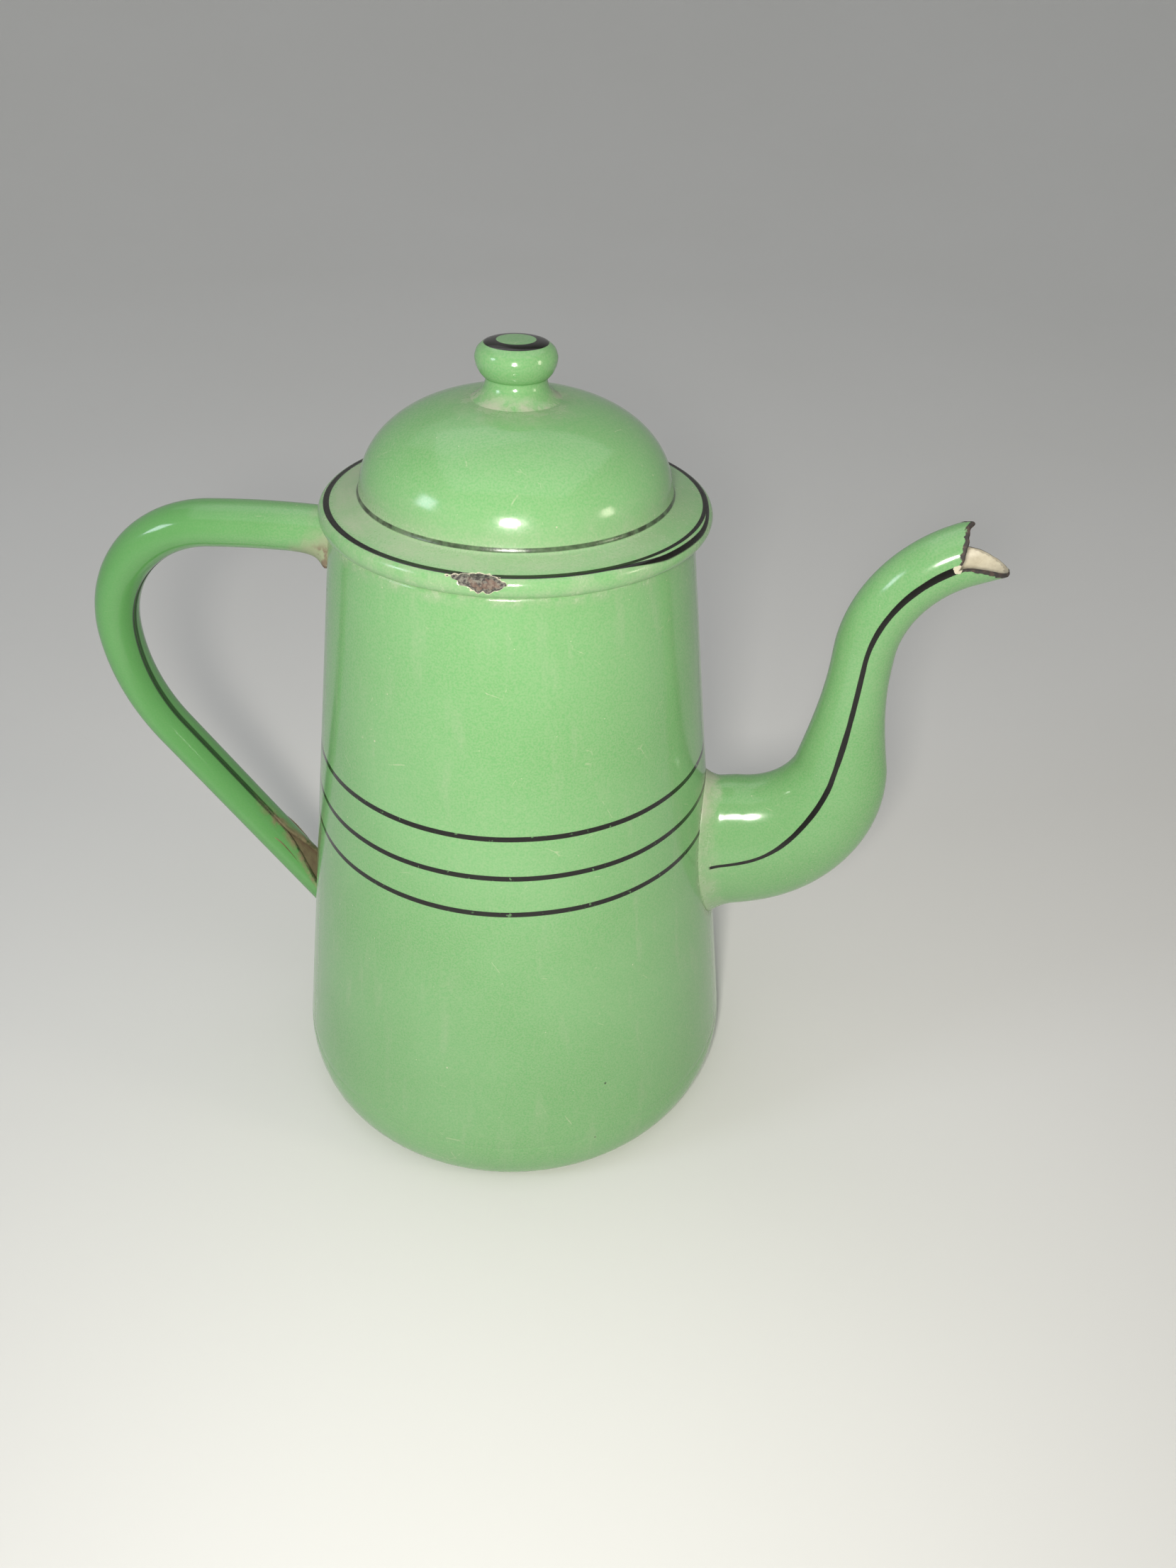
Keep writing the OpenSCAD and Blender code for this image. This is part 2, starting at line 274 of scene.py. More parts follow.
def punched(piece, holes):
    """Cuts round holes: each a centre, a direction, a radius and a length."""
    cutter = bmesh.new()
    for centre, way, radius, depth in holes:
        turn = Vector(way).to_track_quat("Z", "Y").to_matrix().to_4x4()
        bmesh.ops.create_cone(
            cutter, cap_ends=True, segments=24, radius1=radius * MM, radius2=radius * MM,
            depth=depth * MM, matrix=Matrix.Translation(Vector(centre) * MM) @ turn)
    mesh = bpy.data.meshes.new("cutter")
    cutter.to_mesh(mesh)
    cutter.free()
    tool = bpy.data.objects.new("cutter", mesh)
    bpy.context.scene.collection.objects.link(tool)
    cut = piece.modifiers.new("holes", "BOOLEAN")
    cut.object, cut.operation, cut.solver = tool, "DIFFERENCE", "EXACT"
    bpy.context.view_layer.update()
    graph = bpy.context.evaluated_depsgraph_get()
    done = bpy.data.meshes.new_from_object(piece.evaluated_get(graph), depsgraph=graph)
    piece.modifiers.clear()
    piece.data = done
    done.name = piece.name
    bpy.data.objects.remove(tool)
    done.set_sharp_from_angle(angle=math.radians(SMOOTH_BELOW))
    return piece


def dressed(piece, body, slot, nodes, *materials):
    """Puts a finished piece on its body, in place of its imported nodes."""
    for material in materials:
        piece.data.materials.append(material)
    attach(piece, body)
    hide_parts(*nodes)


def inner_faces_second(piece):
    """Gives the faces on the other side of the sheet the piece's second material."""
    mesh = piece.data
    share = np.zeros(len(mesh.vertices), np.float32)
    mesh.attributes["inside"].data.foreach_get("value", share)
    for face in mesh.polygons:
        if min(share[v] for v in face.vertices) > 0.4:
            face.material_index = 1


def wall_radius(z, s):
    """Outside radius of the tapered wall."""
    return SEAM_R - s["taper"] * (z - SEAM_Z)


def ease(value, start, end):
    t = np.clip((value - start) / (end - start), 0, 1)
    return t * t * (3 - 2 * t)


def mix(a, b, t):
    return a + (b - a) * t


def along(distance, start, runs):
    """Point and heading on a line in the XZ plane, made of runs (length, turn)."""
    x, z, heading = start
    for index, (run, turn) in enumerate(runs):
        last = index == len(runs) - 1
        step = distance if last else min(distance, run)
        bend = math.radians(turn * step / run) / 2
        chord = step * (math.sin(bend) / bend if abs(bend) > 1e-6 else 1)
        x += chord * math.cos(math.radians(heading) + bend)
        z += chord * math.sin(math.radians(heading) + bend)
        heading += math.degrees(2 * bend)
        distance -= step
        if distance <= 0:
            break
    return x, z, heading


def gap_to_wall(point, s):
    """How far a point is outside the tapered wall."""
    return math.hypot(point[0], point[1]) - wall_radius(point[2], s)


def contact(point_at, inner, outer, s, sink=0.25):
    """Distance along a line of the place where it goes just into the wall."""
    for _ in range(30):
        middle = (inner + outer) / 2
        if gap_to_wall(point_at(middle), s) < -sink:
            inner = middle
        else:
            outer = middle
    return (inner + outer) / 2


# ---------------- materials


# The setting that a second word after a node's kind gives, as in "Math ADD"
MODES = {"Math": "operation", "VectorMath": "operation", "Mix": "data_type",
         "MapRange": "interpolation_type", "TexVoronoi": "feature"}


def add(tree, kind, *wires, out=0, **options):
    """Adds a node. Names with a capital are its inputs and the others its settings.

    An input takes a number, a colour or another node's output. The result is the
    node's own output, numbered by out. Three or more wires to a Math node make a chain:
    the first two, then that with the next, and so on.
    """
    if kind.startswith("Math") and len(wires) > 2:
        wires = (add(tree, kind, *wires[:-1]), wires[-1])
    kind, _, mode = kind.partition(" ")
    made = tree.nodes.new("ShaderNode" + kind)
    if mode:
        setattr(made, MODES[kind], mode)
    for key, value in options.items():
        if not key[0].isupper():
            setattr(made, key, value)
    shown = [socket for socket in made.inputs if socket.enabled]
    named = {socket.name: socket for socket in reversed(shown)}
    pairs = [*zip(shown, wires), *((named[key.replace("_", " ")], value)
                                   for key, value in options.items() if key[0].isupper())]
    for socket, value in pairs:
        if isinstance(value, bpy.types.NodeSocket):
            tree.links.new(value, socket)
        else:
            socket.default_value = value
    given = [socket for socket in made.outputs if socket.enabled]
    return given[out] if given else None


def new_material(name):
    """An empty material, and the function that adds nodes to it."""
    material = bpy.data.materials.new(name)
    material.use_nodes = True
    material.node_tree.nodes.clear()
    return material, partial(add, material.node_tree)


def place_mm(n):
    """Object coordinates in millimetres, and their X, Y and Z."""
    spot = n("VectorMath SCALE", n("TexCoord", out=3), Scale=1 / MM)
    return (spot, *(n("SeparateXYZ", spot, out=i) for i in range(3)))


def from_axis(n, x, y):
    """Distance from an upright axis, from the distances along X and along Y."""
    squares = n("Math ADD", n("Math MULTIPLY", x, x), n("Math MULTIPLY", y, y))
    return n("Math SQRT", squares)


def band(n, value, centre, half, soft=0.12):
    """1 where value is within half of centre, with soft edges."""
    off = n("Math ABSOLUTE", n("Math SUBTRACT", value, centre))
    return n("MapRange SMOOTHSTEP", off, half - soft, half + soft, 1.0, 0.0)


def patches(n, spot, size_mm, low, high, detail=4.0, rough=0.55):
    """Soft-edged patches about size_mm across."""
    return n("MapRange SMOOTHSTEP",
             n("TexNoise", Vector=spot, Scale=1 / size_mm, Detail=detail, Roughness=rough),
             low, high)


def specks(n, spot, cell_mm, radius_mm, share):
    """Round specks, one in each cell of that size, in only a share of the cells."""
    near = n("TexVoronoi", Vector=spot, Scale=1 / cell_mm)
    pick = n("TexVoronoi", Vector=spot, Scale=1 / cell_mm, out=1)
    chosen = n("Math LESS_THAN", n("SeparateColor", pick), share)
    size = n("Math MULTIPLY", n("SeparateColor", pick, out=1), radius_mm / cell_mm)
    inside = n("Math LESS_THAN", near, size)
    return n("Math MULTIPLY", inside, chosen)


def glaze(n, spot, colour_now, matt, crusty):
    """Closes an enamel material: fired glass with its slight orange peel.

    The glaze is smooth glass of IOR 1.5, so highlights are sharp with a faint bloom
    from fine wear. matt is where dust, dirt or a chip makes it dull, and crusty is
    where the surface is gritty as well.
    """
    bloom = n("TexNoise", Vector=spot, Scale=1 / 9, Detail=5.0, Roughness=0.6)
    gloss = n("MapRange", bloom, 0.3, 0.75, 0.09, 0.19)
    rough = n("Mix FLOAT", matt, gloss, 0.72)
    # Orange peel: waves about 7 mm long and a few hundredths of a millimetre high
    peel = n("TexNoise", Vector=spot, Scale=1 / 7, Detail=1.0)
    grit = n("TexNoise", Vector=spot, Scale=1 / 0.6, Detail=4.0)
    gritty = n("Math MULTIPLY", grit, crusty, 3.0)
    height = n("Math ADD", peel, gritty)
    bump = n("Bump", Height=height, Distance=0.035 * MM, Strength=1.0)
    shader = n("BsdfPrincipled", Base_Color=colour_now, Roughness=rough, IOR=1.5,
               Normal=bump)
    n("OutputMaterial", shader)


def aged_green(n, spot, dust_mask):
    """Green enamel with pooled patches, specks from the kiln and dust. Returns colour
    and dull mask."""
    shade = n("TexNoise", Vector=spot, Scale=1 / 45, Detail=3.0, Roughness=0.5)
    drift = n("MapRange", shade, 0.3, 0.7, 0.0, 0.4)
    tone = n("Mix RGBA", drift, rgba("green"), rgba("deep_green"))
    grain = n("TexNoise", Vector=spot, Scale=1 / 0.5, Detail=2.0)
    fine = n("MapRange", grain, 0.35, 0.65, 0.0, 0.12)
    tone = n("Mix RGBA", fine, tone, rgba("cream"))
    # Hair-fine curved scratches, only here and there
    bent = n("TexNoise", Vector=spot, Scale=1 / 7, Detail=2.0, out=1)
    bent = n("Mix VECTOR", 0.985, bent, n("VectorMath SCALE", spot, Scale=1 / 13))
    hair = n("TexVoronoi DISTANCE_TO_EDGE", Vector=bent, Scale=1.0)
    hair = n("MapRange", hair, 0.003, 0.01, 0.3, 0.0)
    tone = n("Mix RGBA", n("Math MULTIPLY", hair, patches(n, spot, 8, 0.6, 0.68)), tone,
             rgba("cream"))
    pits = n("Math MAXIMUM", specks(n, spot, 17, 0.55, 0.3), specks(n, spot, 9, 0.3, 0.16))
    pale = n("Math MAXIMUM", specks(n, spot, 5, 0.3, 0.35),
             specks(n, spot, 2.1, 0.17, 0.22))
    tone = n("Mix RGBA", n("Math MULTIPLY", pale, 0.5), tone, rgba("cream"))
    tone = n("Mix RGBA", n("Math MULTIPLY", pits, 0.85), tone, rgba("iron"))
    # Dust lies unevenly, in flecks about a millimetre across
    fleck = patches(n, spot, 1.0, 0.25, 0.8, detail=5.0, rough=0.65)
    dusty = n("Math MULTIPLY", dust_mask, n("MapRange", fleck, 0.0, 1.0, 0.6, 1.0))
    return (n("Mix RGBA", dusty, tone, rgba("dust")),
            n("Math MAXIMUM", n("Math MULTIPLY", dusty, 0.9), pits))


def pot_enamel():
    """Green vitreous enamel on the pot: three hand-painted bands, a dusty weld round
    the spout's root and rubbed, slightly dull flanks."""
    s = sizes()
    material, n = new_material("green_vitreous_enamel_pot")
    spot, x, y, z = place_mm(n)
    # A ring of dirt follows the oval weld of the spout
    wide = n("Math DIVIDE", y, s["root_half_width"] + 1.5)
    high = n("Math DIVIDE", n("Math SUBTRACT", z, s["spout_height"] + ROOT_RISE),
             s["root_half_height"] + 1.5)
    oval = n("Math ADD", n("Math MULTIPLY", wide, wide), n("Math MULTIPLY", high, high))
    blur = n("TexNoise", Vector=spot, Scale=1 / 5, Detail=3.0)
    oval = n("Math ADD", oval, n("MapRange", blur, 0.3, 0.7, -0.16, 0.16))
    weld = n("MapRange SMOOTHSTEP", oval, 0.95, 1.5, 0.75, 0.0)
    weld = n("Math MULTIPLY", weld, n("MapRange SMOOTHSTEP", x, 30.0, 50.0))
    # Dust under the lid's edge, on the shoulder
    ledge = band(n, z, s["shoulder_height"] + 1.6, 2.2, 1.6)
    ledge = n("Math MULTIPLY", ledge, patches(n, spot, 3, 0.3, 0.8), 0.55)
    # Dull streaks down the flanks
    squeezed = n("VectorMath MULTIPLY", spot, (1, 1, 0.12))
    streak = n("Math MULTIPLY", patches(n, squeezed, 5, 0.55, 0.75), 0.16)
    dust = n("Math MAXIMUM", n("Math MULTIPLY", weld, 0.6), ledge, streak)
    tone, dull = aged_green(n, spot, dust)
    # The bands were drawn by hand, and drift by up to 0.3 mm
    sway = n("TexNoise", Vector=spot, Scale=1 / 30, Detail=1.0)
    drifted = n("Math ADD", z, n("MapRange", sway, 0.0, 1.0, -0.3, 0.3))
    bands = n("Math MAXIMUM", *(band(n, drifted, height, s["line_width"] / 2, 0.1)
                                for height in BANDS))
    worn = n("MapRange", patches(n, spot, 1.6, 0.62, 0.72), 0.0, 1.0, 1.0, 0.55)
    tone = n("Mix RGBA", n("Math MULTIPLY", bands, worn), tone, rgba("paint"))
    glaze(n, spot, tone, dull, dull)
    return material


def inside_enamel():
    """Cream vitreous enamel inside: glossy, with tan tide marks and brown stain low
    down where coffee has stood, and dark iron showing along bare edges."""
    material, n = new_material("cream_vitreous_enamel_inside")
    spot, _x, _y, z = place_mm(n)
    grain = n("TexNoise", Vector=spot, Scale=1 / 1.1, Detail=4.0, Roughness=0.65)
    tone = n("Mix RGBA", n("MapRange", grain, 0.35, 0.7, 0.0, 0.22), rgba("cream"),
             rgba("coffee"))
    wave = n("TexNoise", Vector=spot, Scale=1 / 26, Detail=3.0)
    level = n("Math ADD", z, n("MapRange", wave, 0.0, 1.0, -9.0, 9.0))
    # Darkest at the bottom, a step at the tide mark, and none on the neck
    low = n("Math MULTIPLY", n("MapRange", level, 20.0, 120.0, 0.62, 0.05),
            n("MapRange", level, 119.0, 121.5, 1.0, 0.25),
            n("MapRange", z, 183.0, 190.0, 1.0, 0.0))
    tone = n("Mix RGBA", low, tone, rgba("coffee"))
    edge = n("Attribute", attribute_name="inside", out=2)
    bare = n("Math MULTIPLY", band(n, edge, 0.5, 0.3, 0.1), patches(n, spot, 2.5, 0.3, 0.5))
    tone = n("Mix RGBA", bare, tone, rgba("iron"))
    glaze(n, spot, tone, bare, bare)
    return material


def spout_enamel():
    """Green enamel on the spout, cream inside it. A painted line runs along each side
    and widens to the beak, whose cut edges have lost their enamel."""
    material, n = new_material("green_vitreous_enamel_spout")
    spot, _x, _y, z = place_mm(n)
    root, lip, stripe, share, run = (
        n("Attribute", attribute_name=mark, out=2)
        for mark in ("root_mm", "lip_mm", "stripe_mm", "inside", "run_mm"))
    blur = n("TexNoise", Vector=spot, Scale=1 / 5, Detail=3.0)
    reach = n("Math ADD", root, n("MapRange", blur, 0.3, 0.7, -2.0, 2.0))
    weld = n("Math MULTIPLY", n("MapRange SMOOTHSTEP", reach, -1.0, 7.0, 1.0, 0.0), 0.5)
    top = n("Math MULTIPLY", n("MapRange", reach, 2.0, 6.0, 1.0, 0.0),
            n("MapRange SMOOTHSTEP", z, sizes()["spout_height"] + 12,
              sizes()["spout_height"] + 20))
    weld = n("Math MAXIMUM", weld, n("Math MULTIPLY", top, 0.85))
    tone, dull = aged_green(n, spot, weld)
    half = n("Math ADD", n("MapRange", run, 10.0, 45.0, 0.5, 0.74),
             n("MapRange", run, 112.0, 128.0, 0.0, 0.35))
    sway = n("TexNoise", Vector=spot, Scale=1 / 11, Detail=2.0)
    half = n("Math ADD", half, n("MapRange", sway, 0.3, 0.7, -0.1, 0.1))
    off = n("Math SUBTRACT", n("Math ABSOLUTE", stripe), half)
    line = n("MapRange SMOOTHSTEP", off, -0.1, 0.1, 1.0, 0.0)
    line = n("Math MULTIPLY", line, n("MapRange SMOOTHSTEP", root, 2.6, 3.4))
    tone = n("Mix RGBA", line, tone, rgba("paint"))
    # Cream scoop, dull with scale
    scale = n("TexNoise", Vector=spot, Scale=1 / 2.4, Detail=5.0, Roughness=0.7)
    scoop = n("Mix RGBA", n("MapRange", scale, 0.35, 0.75, 0.0, 0.4), rgba("cream"),
              rgba("dirt"))
    within = n("MapRange SMOOTHSTEP", share, 0.72, 0.86)
    tone = n("Mix RGBA", within, tone, scoop)
    # The chipped edge eats back unevenly from the cut
    ragged = n("TexNoise", Vector=spot, Scale=1 / 1.4, Detail=3.0)
    eaten = n("Math SUBTRACT", lip, n("MapRange", ragged, 0.3, 0.7, 0.2, 1.1))
    bare = n("MapRange", eaten, -0.08, 0.08, 1.0, 0.0)
    bare = n("Math MULTIPLY", bare, n("MapRange", within, 0.0, 1.0, 1.0, 0.35))
    fleck = patches(n, spot, 1.2, 0.45, 0.6)
    metal = n("Mix RGBA", n("Math MULTIPLY", fleck, 0.35), rgba("iron"), rgba("rust"))
    tone = n("Mix RGBA", bare, tone, metal)
    # A blob of filler under the notch on the near side
    notch = n("VectorMath LENGTH", n("VectorMath SUBTRACT", spot, FILLER_AT))
    blob = n("Math LESS_THAN", notch, n("MapRange", ragged, 0.3, 0.7, 0.8, 1.6))
    tone = n("Mix RGBA", n("Math MULTIPLY", blob, n("Math SUBTRACT", 1.0, within)), tone,
             rgba("cream"))
    matt = n("Math MAXIMUM", dull, bare, n("Math MULTIPLY", within, 0.5))
    glaze(n, spot, tone, matt, n("Math MAXIMUM", dull, bare))
    return material


def handle_enamel():
    """Green enamel on the rolled strip, painted a little deeper than the pot's as shade, with
    painted shade along and inside its slot, dust and a rust spot at the upper root, and
    old dirt packed into the open end of the slot."""
    material, n = new_material("green_vitreous_enamel_handle")
    spot, _x, _y, _z = place_mm(n)
    run, end, across, share = (
        n("Attribute", attribute_name=mark, out=2)
        for mark in ("run_mm", "end_mm", "across", "inside"))
    ragged = n("TexNoise", Vector=spot, Scale=1 / 8, Detail=4.0, Roughness=0.6)
    # Dust fans out from the corner where the strip meets the wall
    reach = n("Math ADD", run, n("MapRange", ragged, 0.25, 0.75, -4.0, 4.0))
    reach = n("Math ADD", reach, n("MapRange", across, 0.3, 0.75, 6.0, -2.0))
    fan = n("MapRange SMOOTHSTEP", reach, 2.0, 13.0, 1.0, 0.0)
    tone, dull = aged_green(n, spot, n("Math MULTIPLY", fan, 0.85))
    tone = n("Mix RGBA", n("Math MULTIPLY", fan, 0.4), tone, rgba("dirt"))
    # Painted shade: away from the upper root the strip is darkened with the deeper green
    thick = n("MapRange", reach, 14.0, 45.0, 0.15, 0.75)
    tone = n("Mix RGBA", thick, tone, rgba("deep_green"))
    # Painted shade with some grime: the strip's lips darken towards the crease of the slot
    crease_shade = n("MapRange SMOOTHSTEP", across, 0.97, 0.995, 0.0, 0.9)
    tone = n("Mix RGBA", crease_shade, tone, rgba("shadow_green"))
    corner = n("Math MULTIPLY", n("MapRange", run, 3.0, 6.0, 1.0, 0.0),
               patches(n, spot, 3, 0.5, 0.62))
    corner = n("Math MULTIPLY", corner, n("MapRange SMOOTHSTEP", across, 0.5, 0.7))
    tone = n("Mix RGBA", n("Math MULTIPLY", corner, 0.8), tone, rgba("rust"))
    # Dirt in the slot, from its open end upwards
    deep = n("Math ADD", end, n("MapRange", ragged, 0.3, 0.7, -14.0, 14.0))
    packed = n("MapRange SMOOTHSTEP", deep, 20.0, 44.0, 1.0, 0.0)
    edge = n("Math MULTIPLY", n("MapRange SMOOTHSTEP", across, 0.86, 0.97),
             patches(n, spot, 4, 0.35, 0.6))
    packed = n("Math MULTIPLY", packed, n("Math MAXIMUM", share, edge))
    # Painted shade: the strip's inner face, inside the roll, is darkened
    slot = n("Math MULTIPLY", n("MapRange SMOOTHSTEP", share, 0.2, 0.8), 0.9)
    tone = n("Mix RGBA", slot, tone, rgba("shadow_green"))
    crumb = n("Mix RGBA", n("Math MULTIPLY", patches(n, spot, 3, 0.35, 0.7), 0.5),
              rgba("dirt"), rgba("rust"))
    tone = n("Mix RGBA", packed, tone, crumb)
    matt = n("Math MAXIMUM", dull, packed)
    glaze(n, spot, tone, matt, matt)
    return material


def lid_enamel():
    """Green enamel on the lid: a painted line on the rolled edge, a thin brushed line
    round the dome's foot, dust on the flange and a deep chip at the front."""
    s = sizes()
    material, n = new_material("green_vitreous_enamel_lid")
    spot, x, y, z = place_mm(n)
    off = n("Math SUBTRACT", x, LID_SHIFT)
    radius = from_axis(n, off, y)
    turn = n("Math ARCTAN2", y, off)
    chip = n("Attribute", attribute_name="chip", out=2)
    foot, flange = s["dome_radius"], half_width(LID)
    left = n("MapRange", x, -45.0, 45.0, 0.95, 0.35)
    ledge = n("Math MULTIPLY", band(n, radius, foot + 3.2, 4.2, 2.2), left,
              n("MapRange", patches(n, spot, 12, 0.2, 0.8), 0.0, 1.0, 0.35, 0.85),
              n("MapRange", z, s["dome_foot"] + 1, s["dome_foot"] + 7, 1.0, 0.0))
    crown = n("Math MULTIPLY", n("MapRange", radius, 12.0, 20.0, 0.6, 0.0),
              patches(n, spot, 6, 0.3, 0.75))
    low_dome = n("Math MULTIPLY",
                 n("MapRange", z, s["dome_foot"] + 1, s["dome_foot"] + 9, 0.4, 0.0),
                 patches(n, spot, 5, 0.3, 0.8))
    tone, dull = aged_green(n, spot, n("Math MAXIMUM", ledge, crown, low_dome))
    # Rim line: two strokes that part on one side, where the brush was lifted
    apart = n("Math MULTIPLY", n("MapRange SMOOTHSTEP", turn, -1.0, -0.6, 0.0, 1.0),
              n("MapRange SMOOTHSTEP", turn, -0.3, 0.1, 1.0, 0.0))
    second = n("Math SUBTRACT", radius, n("Math MULTIPLY", apart, 1.1))
    # The brush ran narrower on the handle's side
    lean = n("MapRange", n("Math ABSOLUTE", turn), 1.7, 2.6, 0.0, 0.22)
    rim = n("Math MAXIMUM", band(n, n("Math ADD", radius, lean), flange - 2.3, 0.55, 0.1),
            band(n, n("Math ADD", second, lean), flange - 1.75, 0.45, 0.1))
    rim = n("Math MULTIPLY", rim, n("Math GREATER_THAN", z, LID[0][2] + 3.6))
    tone = n("Mix RGBA", rim, tone, rgba("paint"))
    brush = patches(n, spot, 3.0, 0.3, 0.7, detail=2.0)
    line = n("Math MULTIPLY", band(n, z, s["dome_foot"] + 0.15, 0.5),
             n("Math LESS_THAN", radius, foot + 1.8),
             n("MapRange", brush, 0.0, 1.0, 0.62, 0.9))
    tone = n("Mix RGBA", line, tone, rgba("paint"))
    # The chip: a pale broken fringe, dark iron, and rust in the middle
    ragged = n("TexNoise", Vector=spot, Scale=1 / 1.1, Detail=4.0, Roughness=0.7)
    depth = n("Math ADD", chip, n("MapRange", ragged, 0.25, 0.75, -0.16, 0.16))
    tone = n("Mix RGBA",
             n("Math MULTIPLY", n("MapRange SMOOTHSTEP", depth, 0.24, 0.3), 0.8), tone,
             rgba("cream"))
    core = n("MapRange SMOOTHSTEP", depth, 0.36, 0.42)
    speck = patches(n, spot, 0.7, 0.42, 0.6)
    middle = n("Math MULTIPLY", n("MapRange SMOOTHSTEP", depth, 0.8, 1.05),
               patches(n, spot, 2.6, 0.46, 0.58))
    metal = n("Mix RGBA", n("Math MULTIPLY", speck, 0.35), rgba("iron"), rgba("dust"))
    metal = n("Mix RGBA", n("Math MULTIPLY", middle, 0.7), metal, rgba("rust"))
    tone = n("Mix RGBA", core, tone, metal)
    # The cut edge of the sheet is bare in places
    edge = n("Attribute", attribute_name="inside", out=2)
    bare = n("Math MULTIPLY", band(n, edge, 0.5, 0.38, 0.1), patches(n, spot, 3, 0.32, 0.5))
    tone = n("Mix RGBA", bare, tone, rgba("iron"))
    matt = n("Math MAXIMUM", dull, core, bare)
    glaze(n, spot, tone, matt, n("Math MAXIMUM", dull, core))
    return material


def knob_enamel():
    """Green enamel on the knob and its neck, with a black ring painted round the top
    and dust in the cove where the neck meets the dome."""
    material, n = new_material("green_vitreous_enamel_knob")
    spot, x, y, z = place_mm(n)
    off = n("Math SUBTRACT", x, LID_SHIFT)
    radius = from_axis(n, off, y)
    cove = n("Math MULTIPLY", n("MapRange", z, NECK[0][2], NECK[0][2] + 2.6, 1.0, 0.0),
             patches(n, spot, 6, 0.4, 0.6), 0.9)
    tone, dull = aged_green(n, spot, cove)
    ring = n("Math MULTIPLY", band(n, radius, 6.4, 1.55, 0.1),
             n("MapRange SMOOTHSTEP", z, KNOB[1][2] - 3, KNOB[1][2] - 2.6))
    tone = n("Mix RGBA", ring, tone, rgba("paint"))
    # Painted shade: a darker band in the groove where the knob meets its neck
    crease_shade = n("Math MULTIPLY", band(n, z, KNOB[0][2], 0.35, 0.25), 0.6)
    tone = n("Mix RGBA", crease_shade, tone, rgba("deep_green"))
    glaze(n, spot, tone, dull, dull)
    return material


def aluminium(name, drawn, stain):
    """Bare aluminium, dulled and stained by coffee, with the fine lines of the tool
    that made it: rings on spun and pressed pieces, and lengthways lines on drawn tube."""
    material, n = new_material(name)
    spot, x, y, z = place_mm(n)
    if drawn:
        tool = n("VectorMath MULTIPLY", spot, (2.5, 2.5, 0.05))
    else:
        # Rings 0.6 mm apart: the real ones are finer, and would not show
        turned_at = n("CombineXYZ", from_axis(n, x, y), 0.0, z)
        tool = n("VectorMath MULTIPLY", turned_at, (1.7, 0, 1.7))
    lines = n("TexNoise", Vector=tool, Scale=1.0, Detail=3.0, Roughness=0.6)
    cloud = n("TexNoise", Vector=spot, Scale=1 / 14, Detail=4.0)
    tone = n("Mix RGBA",
             n("Math MULTIPLY", n("MapRange", cloud, 0.4, 0.75, 0.0, 1.0), stain),
             rgba("aluminium"), rgba("coffee"))
    rough = n("MapRange", n("Math ADD", lines, cloud), 0.7, 1.3, 0.24, 0.46)
    bump = n("Bump", Height=lines, Distance=0.025 * MM, Strength=1.0)
    shader = n("BsdfPrincipled", Base_Color=tone, Metallic=1.0, Roughness=rough,
               Normal=bump)
    n("OutputMaterial", shader)
    return material


# ---------------- pieces


class PERCOLATOR_OT_pot(bpy.types.Operator):
    """Make the pot's tapered wall and its pressed base"""
    bl_idname = "percolator.pot"
    bl_label = "Make Pot"

    def execute(self, context):
        s = sizes()
        green, cream = pot_enamel(), inside_enamel()
        inward = wall_radius(s["shoulder_height"], s) - s["neck_radius"]
        line = np.vstack([
            np.column_stack([wall_radius(np.linspace(SEAM_Z, s["shoulder_height"], 60), s),
                             np.linspace(SEAM_Z, s["shoulder_height"], 60)]),
            softened(np.vstack([
                arc((s["neck_radius"], s["shoulder_height"] + 0.4), inward, 1.8, 8, 80, 8),
                [[s["neck_radius"], s["shoulder_height"] + 3]]]), 2),
            [[s["neck_radius"], MOUTH_Z - 1.5], [s["neck_radius"], MOUTH_Z - 0.6]]])
        wall = turned("pot_wall", sheet_section(line, s["sheet"]), s["turns"])
        inner_faces_second(wall)
        wall.data.materials.append(green)
        wall.data.materials.append(cream)
        # Strainer holes on a close-packed grid, inside the spout's oval root
        pitch, margin, hole_r, hole_length, holes = 7, 4, 1.8, 20, []
        for row in range(-2, 3):
            for column in range(4):
                y = (column - 1.5 + (0.5 if row % 2 == 0 else 0)) * pitch
                z = row * pitch * 0.87
                if math.hypot(y / (s["root_half_width"] - margin),
                              z / (s["root_half_height"] - margin)) < 1:
                    centre = (wall_radius(s["spout_height"], s) - 2, y,
                              s["spout_height"] + ROOT_RISE + z)
                    holes.append((centre, (1, 0, 0), hole_r, hole_length))
        dressed(punched(wall, holes), "pot", "enamel_pot", ["body_wall"])

        swell = (BASE[1][0] - s["base_radius"])
        seam = 180 - math.degrees(math.atan(swell / (s["taper"] * s["corner_height"])))
        line = np.vstack([
            np.column_stack([np.linspace(0, s["base_radius"] - 0.5, 24), np.zeros(24)]),
            arc((s["base_radius"], s["corner_height"]), swell, s["corner_height"], -90,
                seam - 90, 32)])
        base = turned("pot_base", sheet_section(line, s["sheet"]), s["turns"])
        inner_faces_second(base)
        dressed(base, "pot", "enamel_pot", ["base_pan"], green, cream)
        return {"FINISHED"}


